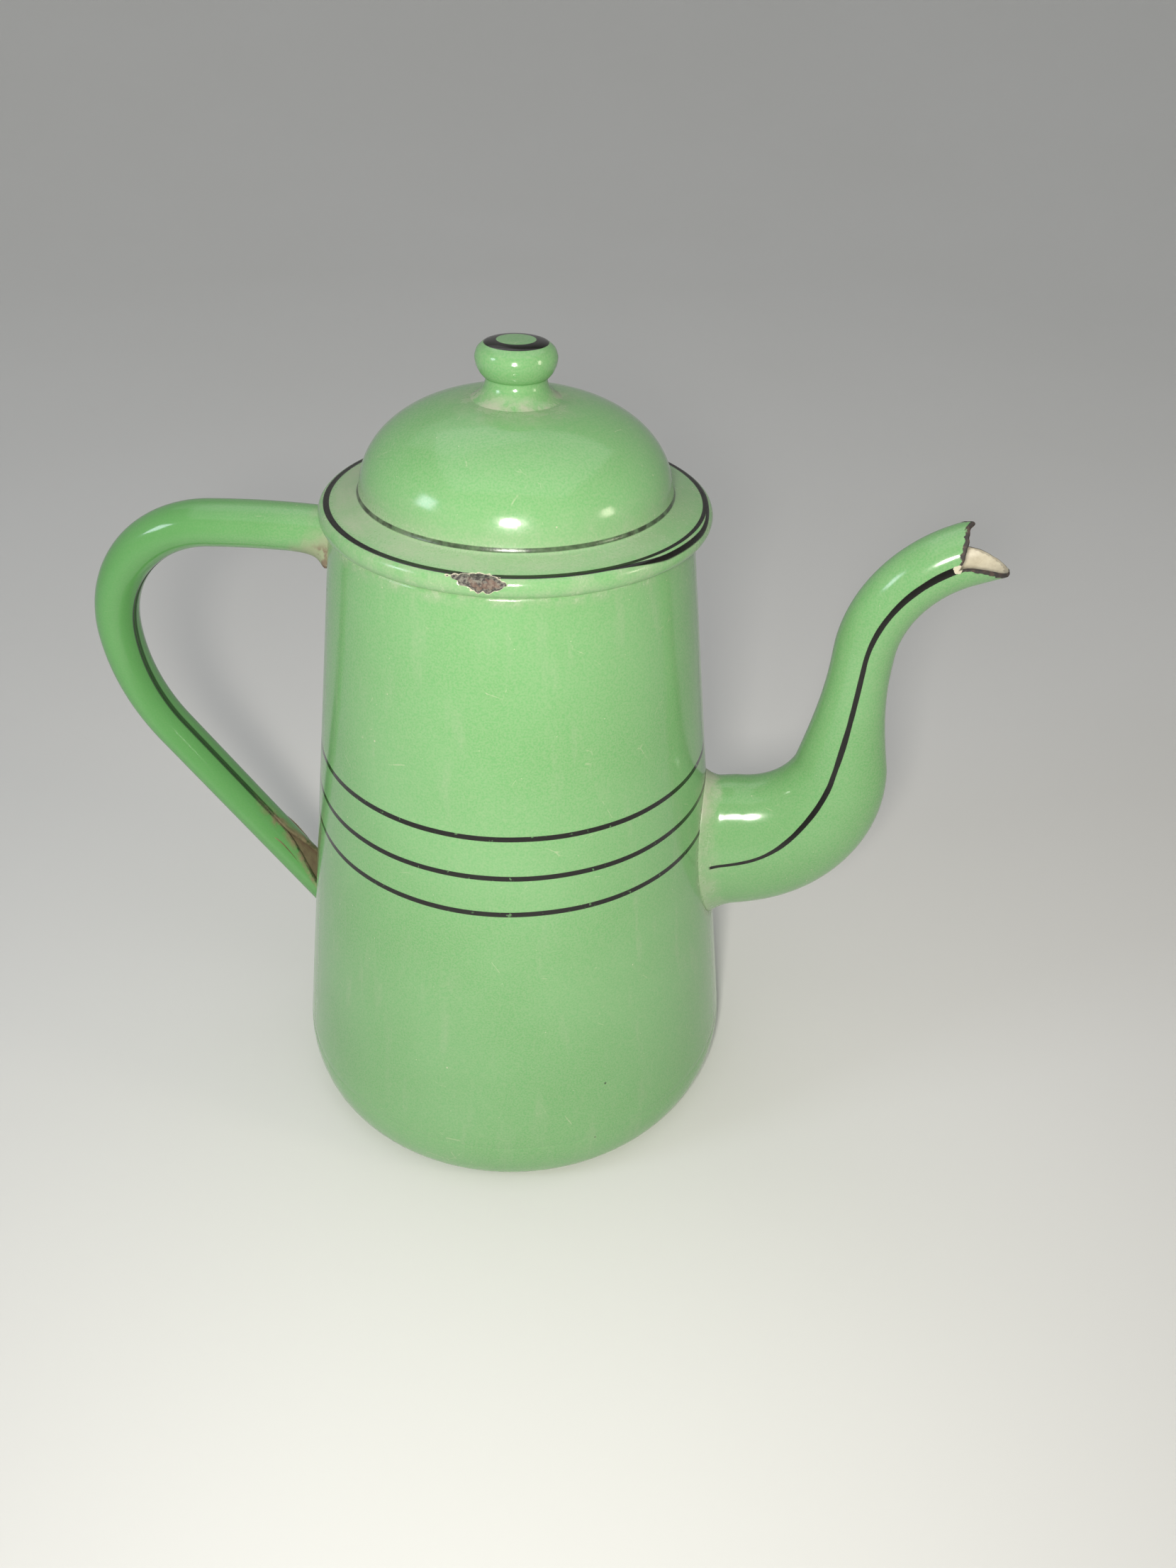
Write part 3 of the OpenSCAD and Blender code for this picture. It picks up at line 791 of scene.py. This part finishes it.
class PERCOLATOR_OT_spout(bpy.types.Operator):
    """Make the goose-neck spout with its open beak"""
    bl_idname = "percolator.spout"
    bl_label = "Make Spout"

    def execute(self, context):
        s = sizes()
        start = (55, s["spout_height"], 6)
        runs = ((17.5, 9), (41.5, 75), (36.5, -2), (39.2, -66), (20, 0))
        notch, upper_jaw, lower_lip, beak_from = 130.8, 5.0, 12.4, 112
        # The weld's fillet, how far it reaches, and the bead on the cut edge
        fillet, reach, bead = 2.6, 6.5, 0.45
        columns, neck_rows, beak_rows, edge_rows = 96, 70, 24, 6

        def surface(distance, turn, inset):
            x, z, heading = along(distance, start, runs)
            t = ease(distance, 10, 92)
            high, wide = (mix(s[f"root_half_{way}"], s[f"neck_half_{way}"], t) - inset
                          for way in ("height", "width"))
            h = math.radians(heading)
            v = high * math.sin(turn)
            return np.array([x - v * math.sin(h), wide * math.cos(turn),
                             z + v * math.cos(h)]), np.array([math.cos(h), 0, math.sin(h)])

        def cut_edge(turn):
            rise = math.sin(turn)
            ragged = 0.22 * noise.noise((math.cos(turn) * 6, rise * 6, 3.1))
            if rise > 0:
                point = 1.5 * math.exp(-((1 - rise) / 0.012))
                return notch + upper_jaw * rise ** 0.7 + point + ragged
            return notch + lower_lip * (-rise) ** 0.6 + ragged

        def line_turn(distance):
            return math.radians(3 + 13 * math.exp(-((distance - 48) / 24) ** 2))

        turns = [math.radians(-90 + 360 * k / columns) for k in range(columns)]
        feet = [contact(lambda d: surface(d, a, 0)[0], 0, 45, s) for a in turns]
        close = [*np.linspace(0, reach, 9), 8, 10]
        # Distances to the root and the lip are kept up to this one
        far, rows = 20, []
        marks = {key: [] for key in ("inside", "root_mm", "lip_mm", "stripe_mm", "run_mm")}

        def add_row(points, *values):
            rows.append(points)
            for key, row in zip(marks, values):
                marks[key] += list(row)

        def distances(step):
            """Distance along the middle line of each column at one row."""
            if step < len(close):
                return [foot + close[step] for foot in feet]
            if step < len(close) + neck_rows:
                t = (step - len(close) + 1) / neck_rows
                return [mix(foot + close[-1], beak_from, t) for foot in feet]
            t = (step - len(close) - neck_rows + 1) / beak_rows
            return [mix(beak_from, cut_edge(a), t) for a in turns]

        last = len(close) + neck_rows + beak_rows - 1
        for inset, order in ((0, range(last + 1)), (s["sheet"], range(last, -1, -1))):
            for step in order:
                points, stripes, lips, roots, travelled = [], [], [], [], []
                for a, foot, distance in zip(turns, feet, distances(step)):
                    beyond = distance - foot
                    swell = max(0, 1 - beyond / reach) ** 2
                    point, way = surface(distance, a, inset - (
                        fillet * swell if inset == 0 else 0))
                    if swell:
                        first, _ = surface(foot, a, inset - (fillet if inset == 0 else 0))
                        slide = contact(lambda d: first + way * d, -12, 20, s)
                        point = point + way * slide * swell
                    side = math.asin(math.sin(a))
                    size = mix(20, 8.2, ease(distance, 10, 92))
                    stripes.append((side - line_turn(distance)) * size)
                    travelled.append(distance)
                    lips.append(min(far, cut_edge(a) - distance))
                    roots.append(min(far, beyond))
                    points.append(point)
                add_row(points, [float(inset > 0)] * columns, roots, lips, stripes,
                        travelled)
            if inset == 0:
                outer = np.array(rows[-1])
                inner = np.array([surface(cut_edge(a), a, s["sheet"])[0] for a in turns])
                ways = np.array([surface(cut_edge(a), a, 0)[1] for a in turns])
                half = (outer - inner) / 2
                for k in range(1, edge_rows):
                    t = math.pi * k / edge_rows
                    add_row(list((outer + inner) / 2 + half * math.cos(t)
                                 + ways * bead * math.sin(t)),
                            *([value] * columns for value in (
                                k / edge_rows, far, 0, far, beak_from)))
        points = [point for row in rows for point in row]
        index = [range(i * columns, (i + 1) * columns) for i in range(len(rows))]
        spout = mesh_piece("spout_shell", points, loop_faces(index), marks)
        dressed(spout, "pot", "enamel_spout", ["spout_left_half", "spout_right_half"],
                spout_enamel())
        return {"FINISHED"}


class PERCOLATOR_OT_handle(bpy.types.Operator):
    """Make the strap handle, rolled from one strip"""
    bl_idname = "percolator.handle"
    bl_label = "Make Handle"

    def execute(self, context):
        s = sizes()
        start = (-44, s["handle_height"], 176)
        runs = ((40, 8), (52.8, 86), (35.8, 36), (78, 0))
        whole = sum(run for run, _turn in runs)
        # The strip curls this many degrees each way: along the grip, and at its low end
        slot_turn, open_turn = 175, 110
        # At the top it is flat, with its sides turned down, up to here
        tab_from, tab_reach, tab_drop = 6, 17, 7
        across, edge_steps = np.linspace(-1, 1, 61), 6
        root_rows, grip_rows, end_rows, upper, lower = 30, 150, 40, 26, whole - 32

        def surface(distance, q, inset):
            x, z, heading = along(distance, start, runs)
            opening = ease(distance, whole - 34, whole - 4)
            slim = ease(distance, 55, 130)
            tab = max(0, 1 - max(0, distance - tab_from) / (tab_reach - tab_from)) ** 2.2
            # The slot wanders a little to one side, where the strip was rolled unevenly
            skew = 9 * ease(distance, 25, 60) * (1 - opening)
            g = mix(slot_turn, open_turn, opening) * q + skew
            wide = s["grip_half_width"] - 0.8 * slim - inset
            thick = s["grip_half_thickness"] - 1.4 * slim - inset
            v, w = -thick * math.cos(math.radians(g)), wide * math.sin(math.radians(g))
            if abs(g) > 90:
                curl = (abs(g) - 90) / (slot_turn - 90)
                v = mix(v, tab_drop * curl, tab)
                w = mix(w, wide * math.copysign(1, q), tab)
            if inset:
                # Packed dirt fills the strip almost level with its edges
                level = -thick * math.cos(math.radians(mix(slot_turn, open_turn, opening)))
                v = mix(v, max(v, level - 0.4), ease(distance, whole - 46, whole - 28))
            h = math.radians(heading)
            return np.array([x - v * math.sin(h), w, z + v * math.cos(h)])

        between = [k / edge_steps for k in range(1, edge_steps)]
        loop = [*((q, 0.0) for q in across), *((1, share) for share in between),
                *((q, 1.0) for q in across[::-1]),
                *((-1, share) for share in between[::-1])]

        def ring_point(distance, q, share):
            """A point on the strip's section: outside, rounded edge or inside."""
            if share in (0.0, 1.0):
                return surface(distance, q, share * s["sheet"])
            outer, inner = surface(distance, q, 0), surface(distance, q, s["sheet"])
            before = surface(distance, q * 0.985, 0)
            way = (outer - before) / max(1e-9, np.linalg.norm(outer - before))
            t = math.pi * share
            return ((outer + inner) / 2 + (outer - inner) / 2 * math.cos(t)
                    + way * np.linalg.norm(outer - inner) / 2 * math.sin(t))

        ends = []
        for q, share in loop:
            point = partial(ring_point, q=q, share=share)
            ends.append((contact(point, 0, 26, s),
                         whole - contact(lambda d: point(whole - d), 0, 30, s)))
        points, marks = [], {"inside": [], "run_mm": [], "end_mm": [], "across": []}
        last_row = root_rows + grip_rows + end_rows
        for step in range(last_row + 1):
            for (q, share), (first, last) in zip(loop, ends):
                if step <= root_rows:
                    distance = mix(first, upper, step / root_rows)
                elif step <= root_rows + grip_rows:
                    distance = mix(upper, lower, (step - root_rows) / grip_rows)
                else:
                    distance = mix(lower, last, (step - root_rows - grip_rows) / end_rows)
                points.append(ring_point(distance, q, share))
                for key, value in zip(marks, (share, distance - first, last - distance,
                                              abs(q))):
                    marks[key].append(value)
        count = len(loop)
        # The last row isn't joined to the first: both ends are closed between the
        # strip's two faces
        faces = loop_faces([range(i * count, (i + 1) * count)
                            for i in range(last_row + 1)])[:-count]
        opposite = 2 * len(across) + edge_steps - 2
        for first in (0, last_row * count):
            for k in range(len(across) - 1):
                back = opposite - k
                faces.append([first + k, first + k + 1, first + back, first + back + 1])
        handle = mesh_piece("handle_strap", points, faces, marks)
        dressed(handle, "pot", "enamel_handle", ["handle_strip"], handle_enamel())
        return {"FINISHED"}


def dome_height(radius, s):
    """Height of the lid's dome over a radius, as the frame's dome has it."""
    return s["dome_foot"] + s["dome_rise"] * (
        1 - np.minimum(1, radius / s["dome_radius"]) ** 2.5) ** 0.51


class PERCOLATOR_OT_lid(bpy.types.Operator):
    """Make the domed lid with its rolled edge, and the collar under it"""
    bl_idname = "percolator.lid"
    bl_label = "Make Lid"

    def execute(self, context):
        s = sizes()
        edge_r, foot = half_width(LID), s["dome_foot"]
        curl = (edge_r - 2, foot - 5.1)
        radii = s["dome_radius"] * (1 - (1 - np.linspace(0, 1, 90)) ** 2.4)
        radii = radii[radii < s["dome_radius"] * 0.992]
        dome = np.column_stack([radii, dome_height(radii, s)])
        low = softened([dome[-1], *([s["dome_radius"] + out, foot + up] for out, up in (
            (0.15, 0.5), (0.7, -0.6), (2.2, -1.15), (5, -1.9))),
            [curl[0] - 0.9, curl[1] + 2.62]])
        line = np.vstack([dome[:-1], low[:-1], arc(curl, 2, 2.6, 96, -150, 44)])
        # Finer steps at the front, where the edge is chipped
        chip_from, chip_to = math.radians(-104), math.radians(-80)
        angles = np.concatenate([
            np.linspace(chip_from, chip_to, 80, endpoint=False),
            np.linspace(chip_to, chip_from + 2 * math.pi, s["turns"], endpoint=False)])
        section = sheet_section(line, -s["sheet"])
        lid = turned("lid_dome", section, s["turns"], LID_SHIFT, angles)
        self.chip(lid, curl)
        inner_faces_second(lid)
        dressed(lid, "lid", "enamel_lid", ["lid_cover"], lid_enamel(), inside_enamel())

        low_z, high_z, radius = COLLAR[0][2], COLLAR[1][2], half_width(COLLAR)
        line = softened([[radius - 0.5, low_z + 0.5], [radius, low_z + 1.6],
                         [radius, high_z - 1], [radius, high_z - 0.1]])
        collar = turned("lid_locating_collar", sheet_section(line, 1), s["turns"],
                        LID_SHIFT)
        dressed(collar, "lid", "enamel_inside", ["lid_collar"],
                bpy.data.materials["cream_vitreous_enamel_inside"])
        return {"FINISHED"}

    def chip(self, lid, curl):
        """Sinks a leaf-shaped chip into the rolled edge and marks how deep it is."""
        # Its middle in degrees round the lid, and millimetres of edge for each degree
        middle, mm_per_degree = -91.2, 0.87
        # Its left end and length along the edge, half its height, how far its middle
        # is down the curl, and how deep it is at most
        left, long, tall, lower, sunk = 8, 15.2, 3.3, 1.5, 0.32
        innermost, curl_r = 44, 2.3
        mesh = lid.data
        depth = np.zeros(len(mesh.vertices), np.float32)
        share = np.zeros(len(mesh.vertices), np.float32)
        mesh.attributes["inside"].data.foreach_get("value", share)
        for i, vertex in enumerate(mesh.vertices):
            x, y, z = vertex.co / MM
            radius = math.hypot(x - LID_SHIFT, y)
            sideways = mm_per_degree * (
                math.degrees(math.atan2(y, x - LID_SHIFT)) - middle)
            if share[i] > 0.01 or abs(sideways) > 10 or radius < innermost:
                continue
            if radius < curl[0]:
                down = -(curl[0] - radius)
            else:
                down = curl_r * (math.pi / 2 - math.atan2(z - curl[1], radius - curl[0]))
            t = (sideways + left) / long
            if not 0 < t < 1:
                continue
            half = tall * math.sin(math.pi * t ** 1.45) ** 0.8
            rough = 0.9 * noise.noise((sideways * 0.8, down * 0.8, 5.0))
            inward = (half - abs(down - lower - 0.1 * sideways) + rough) / 1.6
            depth[i] = max(0, min(1, inward))
            sink = ease(depth[i], 0.2, 0.5) * (
                sunk + 0.12 * noise.noise((sideways * 2, down * 2, 1.0)))
            vertex.co -= vertex.normal * float(sink) * MM
        layer = mesh.attributes.new("chip", "FLOAT", "POINT")
        layer.data.foreach_set("value", depth)


class PERCOLATOR_OT_knob(bpy.types.Operator):
    """Make the knob and the flared neck that carries it"""
    bl_idname = "percolator.knob"
    bl_label = "Make Knob"

    def execute(self, context):
        s = sizes()
        green = knob_enamel()
        radius, tall = half_width(KNOB), KNOB[1][2] - KNOB[0][2]
        # The outline's lowest point is hidden in the neck, this share of it down
        hidden = 0.099
        low, tall = KNOB[0][2] - tall * hidden, tall / (1 - hidden)
        outline = curve_through([
            [0, low + tall], *([radius * r, low + tall * h] for r, h in (
                (0.25, 1), (0.48, 0.992), (0.66, 0.965), (0.79, 0.915), (0.93, 0.79),
                (0.99, 0.64), (1, 0.54), (0.97, 0.38), (0.9, 0.22), (0.8, 0.09)))])
        outline[:, 0] = np.clip(outline[:, 0], 0, radius)
        outline[:, 1] = np.minimum(outline[:, 1], low + tall)
        cap = turned("knob_ball", sheet_section(outline, -1), ROUND, LID_SHIFT)
        dressed(cap, "lid", "enamel_knob", ["knob_cap"], green)

        skirt, throat = half_width(NECK), 7.6
        rest = dome_height(0, s)
        top = KNOB[0][2] - 0.1
        flare = arc((skirt, top), -(skirt - throat), -(top - rest + 0.35), 90, 6, 26)
        outline = np.vstack([flare, curve_through([
            [throat + 0.05, top - 0.1], [throat + 0.25, top + 0.15],
            [throat + 0.1, top + 0.45]], 4)[1:]])
        neck = turned("knob_flared_neck", sheet_section(outline, 0.9), ROUND, LID_SHIFT)
        for vertex in neck.data.vertices:
            # The skirt lies on the dome, which falls away under it
            reach = math.hypot(vertex.co.x / MM - LID_SHIFT, vertex.co.y / MM)
            fall = (rest - dome_height(reach, s)) * ease(reach, throat, skirt)
            vertex.co.z -= float(fall) * MM
        dressed(neck, "lid", "enamel_knob", ["knob_neck"], green)
        return {"FINISHED"}


def washer(inner, outer, low, high, soft):
    """Closed section of a ring with its corners rounded."""
    points = np.vstack([
        arc((outer - soft, high - soft), soft, soft, 0, 90, 5),
        arc((inner + soft, high - soft), soft, soft, 90, 180, 5),
        arc((inner + soft, low + soft), soft, soft, 180, 270, 5),
        arc((outer - soft, low + soft), soft, soft, 270, 360, 5)])
    return points, np.zeros(len(points))


def rings(radii, z, radius):
    """Holes down through a sheet: for each ring its radius and its number of holes."""
    return [((ring * math.cos(a), ring * math.sin(a), z), (0, 0, 1), radius, 5)
            for ring, count in radii
            for a in np.arange(count) * 2 * math.pi / count]


def upright(radius, low, high):
    """A straight line up the outside of a tube."""
    return np.column_stack([np.full(12, radius), np.linspace(low, high, 12)])


class PERCOLATOR_OT_pump(bpy.types.Operator):
    """Make the pump: its tube, its bell-shaped foot and the stop for the basket"""
    bl_idname = "percolator.pump"
    bl_label = "Make Pump"

    def execute(self, context):
        drawn = aluminium("drawn_aluminium_tube", True, 0.45)
        pressed = aluminium("pressed_aluminium_foot", False, 0.5)
        tube_r, bore, sheet = TUBE[1][0], 3.3, 0.8
        line = upright(tube_r, TUBE[0][2] + 0.35, TUBE[1][2] - 0.35)
        tube = turned("pump_riser_tube", sheet_section(line, tube_r - bore), ROUND_TUBE)
        dressed(tube, "pump", "aluminium_tube", ["pump_tube"], drawn)

        foot_r, low, high = FOOT[1][0], FOOT[0][2], FOOT[1][2]
        line = np.vstack([
            [[foot_r, low + 0.4]], arc((0, low + 2), foot_r, 10, 0, 74, 40),
            softened([[tube_r + 2.6, low + 11.7], [tube_r + sheet, low + 12.2],
                      [tube_r + sheet, low + 15]]),
            [[tube_r + sheet, high - 0.4]]])
        inlets = [((foot_r * math.cos(a), foot_r * math.sin(a), low),
                   (math.cos(a), math.sin(a), 0), 3, 12)
                  for a in np.radians([45, 135, 225, 315])]
        bell = punched(turned("pump_bell_foot", sheet_section(line, sheet), ROUND), inlets)
        dressed(bell, "pump", "aluminium_pressed", ["pump_foot"], pressed)

        ring = washer(tube_r - 0.02, STOP[1][0], STOP[0][2], STOP[1][2], 0.5)
        dressed(turned("pump_stop_ring", ring, ROUND_TUBE), "pump", "aluminium_pressed",
                ["basket_stop"], pressed)
        return {"FINISHED"}


class PERCOLATOR_OT_basket(bpy.types.Operator):
    """Make the perforated basket with its sleeve, and the spreader over it"""
    bl_idname = "percolator.basket"
    bl_label = "Make Basket"

    def execute(self, context):
        metal = aluminium("spun_aluminium_basket", False, 0.6)
        drawn = bpy.data.materials["drawn_aluminium_tube"]
        sheet, rim, corner, hole = 0.8, 1.3, 5, 1
        sleeve_r, sleeve_low, sleeve_high = SLEEVE[1][0], SLEEVE[0][2], SLEEVE[1][2]
        wall, low, top = BASKET[1][0] - rim, BASKET[0][2], BASKET[1][2] - rim
        inner = wall - sheet
        line = np.vstack([
            np.column_stack([np.linspace(sleeve_r - 0.1, wall - corner, 16),
                             np.full(16, low + sheet)])[:-1],
            arc((wall - corner, low + corner), corner - sheet, corner - sheet, -90, 0, 10),
            np.column_stack([np.full(20, inner), np.linspace(low + corner + 1, top - 1.4,
                                                             20)]),
            arc((wall, top), rim, rim, 197, -110, 24)])
        basket = turned("coffee_basket", sheet_section(line, -sheet), ROUND)
        punched(basket, rings(((12, 8), (20, 16), (28, 24)), low, hole))
        dressed(basket, "basket", "aluminium_basket", ["basket"], metal)

        tube = sheet_section(upright(sleeve_r, sleeve_low + 0.1, sleeve_high - 0.4), sheet)
        dressed(turned("basket_centre_sleeve", tube, ROUND_TUBE), "basket", "aluminium_tube",
                ["basket_sleeve"], drawn)

        rest, reach = SPREADER[0][2], SPREADER[1][0]
        # A collar round the sleeve, a flat plate and a raised rim that rests on the wall
        line = softened([[radius, rest + up] for radius, up in (
            (sleeve_r - sheet + 0.3, 6), (sleeve_r + 0.6, 6), (sleeve_r + 1.3, 2.6),
            (13, 1.4), (reach - 9, 1.4), (reach - 5.2, 1.5), (reach - 4.2, 2.4),
            (reach - 0.3, 2.4), (reach, 1.6), (reach, 0.4))])
        spreader = turned("water_spreader", sheet_section(line, -sheet), ROUND)
        punched(spreader, rings(((16, 12), (26, 24)), rest + 1, hole))
        dressed(spreader, "spreader", "aluminium_basket", ["spreader"], metal)
        return {"FINISHED"}


class PERCOLATOR_OT_stage(bpy.types.Operator):
    """Make the studio: pale floor, soft lights and camera"""
    bl_idname = "percolator.stage"
    bl_label = "Make Studio"

    def execute(self, context):
        scene = context.scene
        # A sheet of matt paper, large enough to reach the horizon
        paper, n = new_material("matt_studio_paper")
        spot, _x, _y, _z = place_mm(n)
        cloud = n("TexNoise", Vector=spot, Scale=1 / 300, Detail=2.0)
        tone = n("Mix RGBA", n("MapRange", cloud, 0.3, 0.7, 0.0, 0.05), rgba("floor"),
                 rgba("dust"))
        n("OutputMaterial", n("BsdfPrincipled", Base_Color=tone, Roughness=0.85))
        # The paper is flat to 1.2 m from the middle, and sweeps up all round
        sides = 96
        sweep = np.vstack([[[0, 0], [400, 0], [800, 0]],
                           arc((1200, 1500), 1500, 1500, -90, 0, 24), [[2700, 3500]]])
        rows, points = [], []
        for radius, height in sweep:
            rows.append(range(len(points), len(points) + sides) if radius
                        else [len(points)] * sides)
            points += [(radius * math.cos(a), radius * math.sin(a), height)
                       for a in np.arange(sides if radius else 1) * 2 * math.pi / sides]
        floor = mesh_piece("studio_floor", points, loop_faces(rows)[:-sides])
        floor.data.materials.append(paper)

        # Name, place and aim in metres, width in metres, watts and tint. The small lamp
        # gives the sharp highlights, and the others are soft
        for name, place, aim, size, watts, tint in (
                ("key_softbox", (-0.8, -0.45, 0.6), (0, 0, 0.15), 0.22, 1.5, "#e6eeff"),
                ("front_lamp", (0.03, -0.34, 0.32), (0, 0, 0.14), 0.036, 1.45, "#fffaf2"),
                ("fill_softbox", (0.95, -0.22, 0.45), (0, 0, 0.12), 0.16, 0.9, "#fff0de"),
                ("back_softbox", (-1.0, 1.4, 2.2), (0, 0, 0.1), 1.6, 3.0, "#ffffff"),
                ("top_softbox", (0, 0.3, 2.2), (0, 0.3, 0), 3.0, 20.0, "#ffffff")):
            light = bpy.data.lights.new(name, "AREA")
            light.shape, light.energy, light.size = "SQUARE", watts, size
            light.color = linear(tint)
            lamp = bpy.data.objects.new(name, light)
            lamp.location = place
            way = Vector(aim) - Vector(place)
            lamp.rotation_euler = way.to_track_quat("-Z", "Y").to_euler()
            scene.collection.objects.link(lamp)

        world = bpy.data.worlds.new("studio_air")
        world.use_nodes = True
        air = world.node_tree.nodes["Background"]
        air.inputs["Color"].default_value = (*linear("#dfe3e6"), 1)
        air.inputs["Strength"].default_value = 0.16
        scene.world = world
        scene.view_settings.view_transform = "Standard"

        # The camera stands in front of the pot, held 0.3 m up and tipped down 35 degrees
        camera = bpy.data.cameras.new("camera")
        camera.sensor_width, camera.lens = 36, 26.69
        camera.clip_start, camera.clip_end = 0.01, 30
        eye = bpy.data.objects.new("camera", camera)
        scene.collection.objects.link(eye)
        right = Vector((0.99247, 0.11883, 0.02986)).normalized()
        forward = Vector((-0.07965, 0.81092, -0.57971)).normalized()
        up = right.cross(forward).normalized()
        turn = Matrix((right, up, -forward)).transposed().to_4x4()
        eye.matrix_world = Matrix.Translation((0.0504, -0.2856, 0.3089)) @ turn
        scene.camera = eye
        return {"FINISHED"}


class VIEW3D_PT_percolator(bpy.types.Panel):
    """Sidebar panel with the percolator's operators, sizes and colours"""
    bl_label = "Percolator"
    bl_space_type = "VIEW_3D"
    bl_region_type = "UI"
    bl_category = "Percolator"

    def draw(self, context):
        layout = self.layout
        for operator in OPERATORS:
            layout.operator(operator.bl_idname)
        for group in (context.scene.percolator_sizes, context.scene.percolator_colours):
            box = layout.box()
            for key in group.__annotations__:
                box.prop(group, key)


OPERATORS = (
    PERCOLATOR_OT_stage, PERCOLATOR_OT_pot, PERCOLATOR_OT_spout, PERCOLATOR_OT_handle,
    PERCOLATOR_OT_lid, PERCOLATOR_OT_knob, PERCOLATOR_OT_pump, PERCOLATOR_OT_basket)
CLASSES = (PercolatorSizes, PercolatorColours, *OPERATORS, VIEW3D_PT_percolator)


def register():
    for cls in CLASSES:
        bpy.utils.register_class(cls)
    bpy.types.Scene.percolator_sizes = PointerProperty(type=PercolatorSizes)
    bpy.types.Scene.percolator_colours = PointerProperty(type=PercolatorColours)


def unregister():
    del bpy.types.Scene.percolator_colours
    del bpy.types.Scene.percolator_sizes
    for cls in reversed(CLASSES):
        bpy.utils.unregister_class(cls)


def main():
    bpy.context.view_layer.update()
    register()
    for operator in OPERATORS:
        group, name = operator.bl_idname.split(".")
        getattr(getattr(bpy.ops, group), name)()


if __name__ == "__main__":
    main()
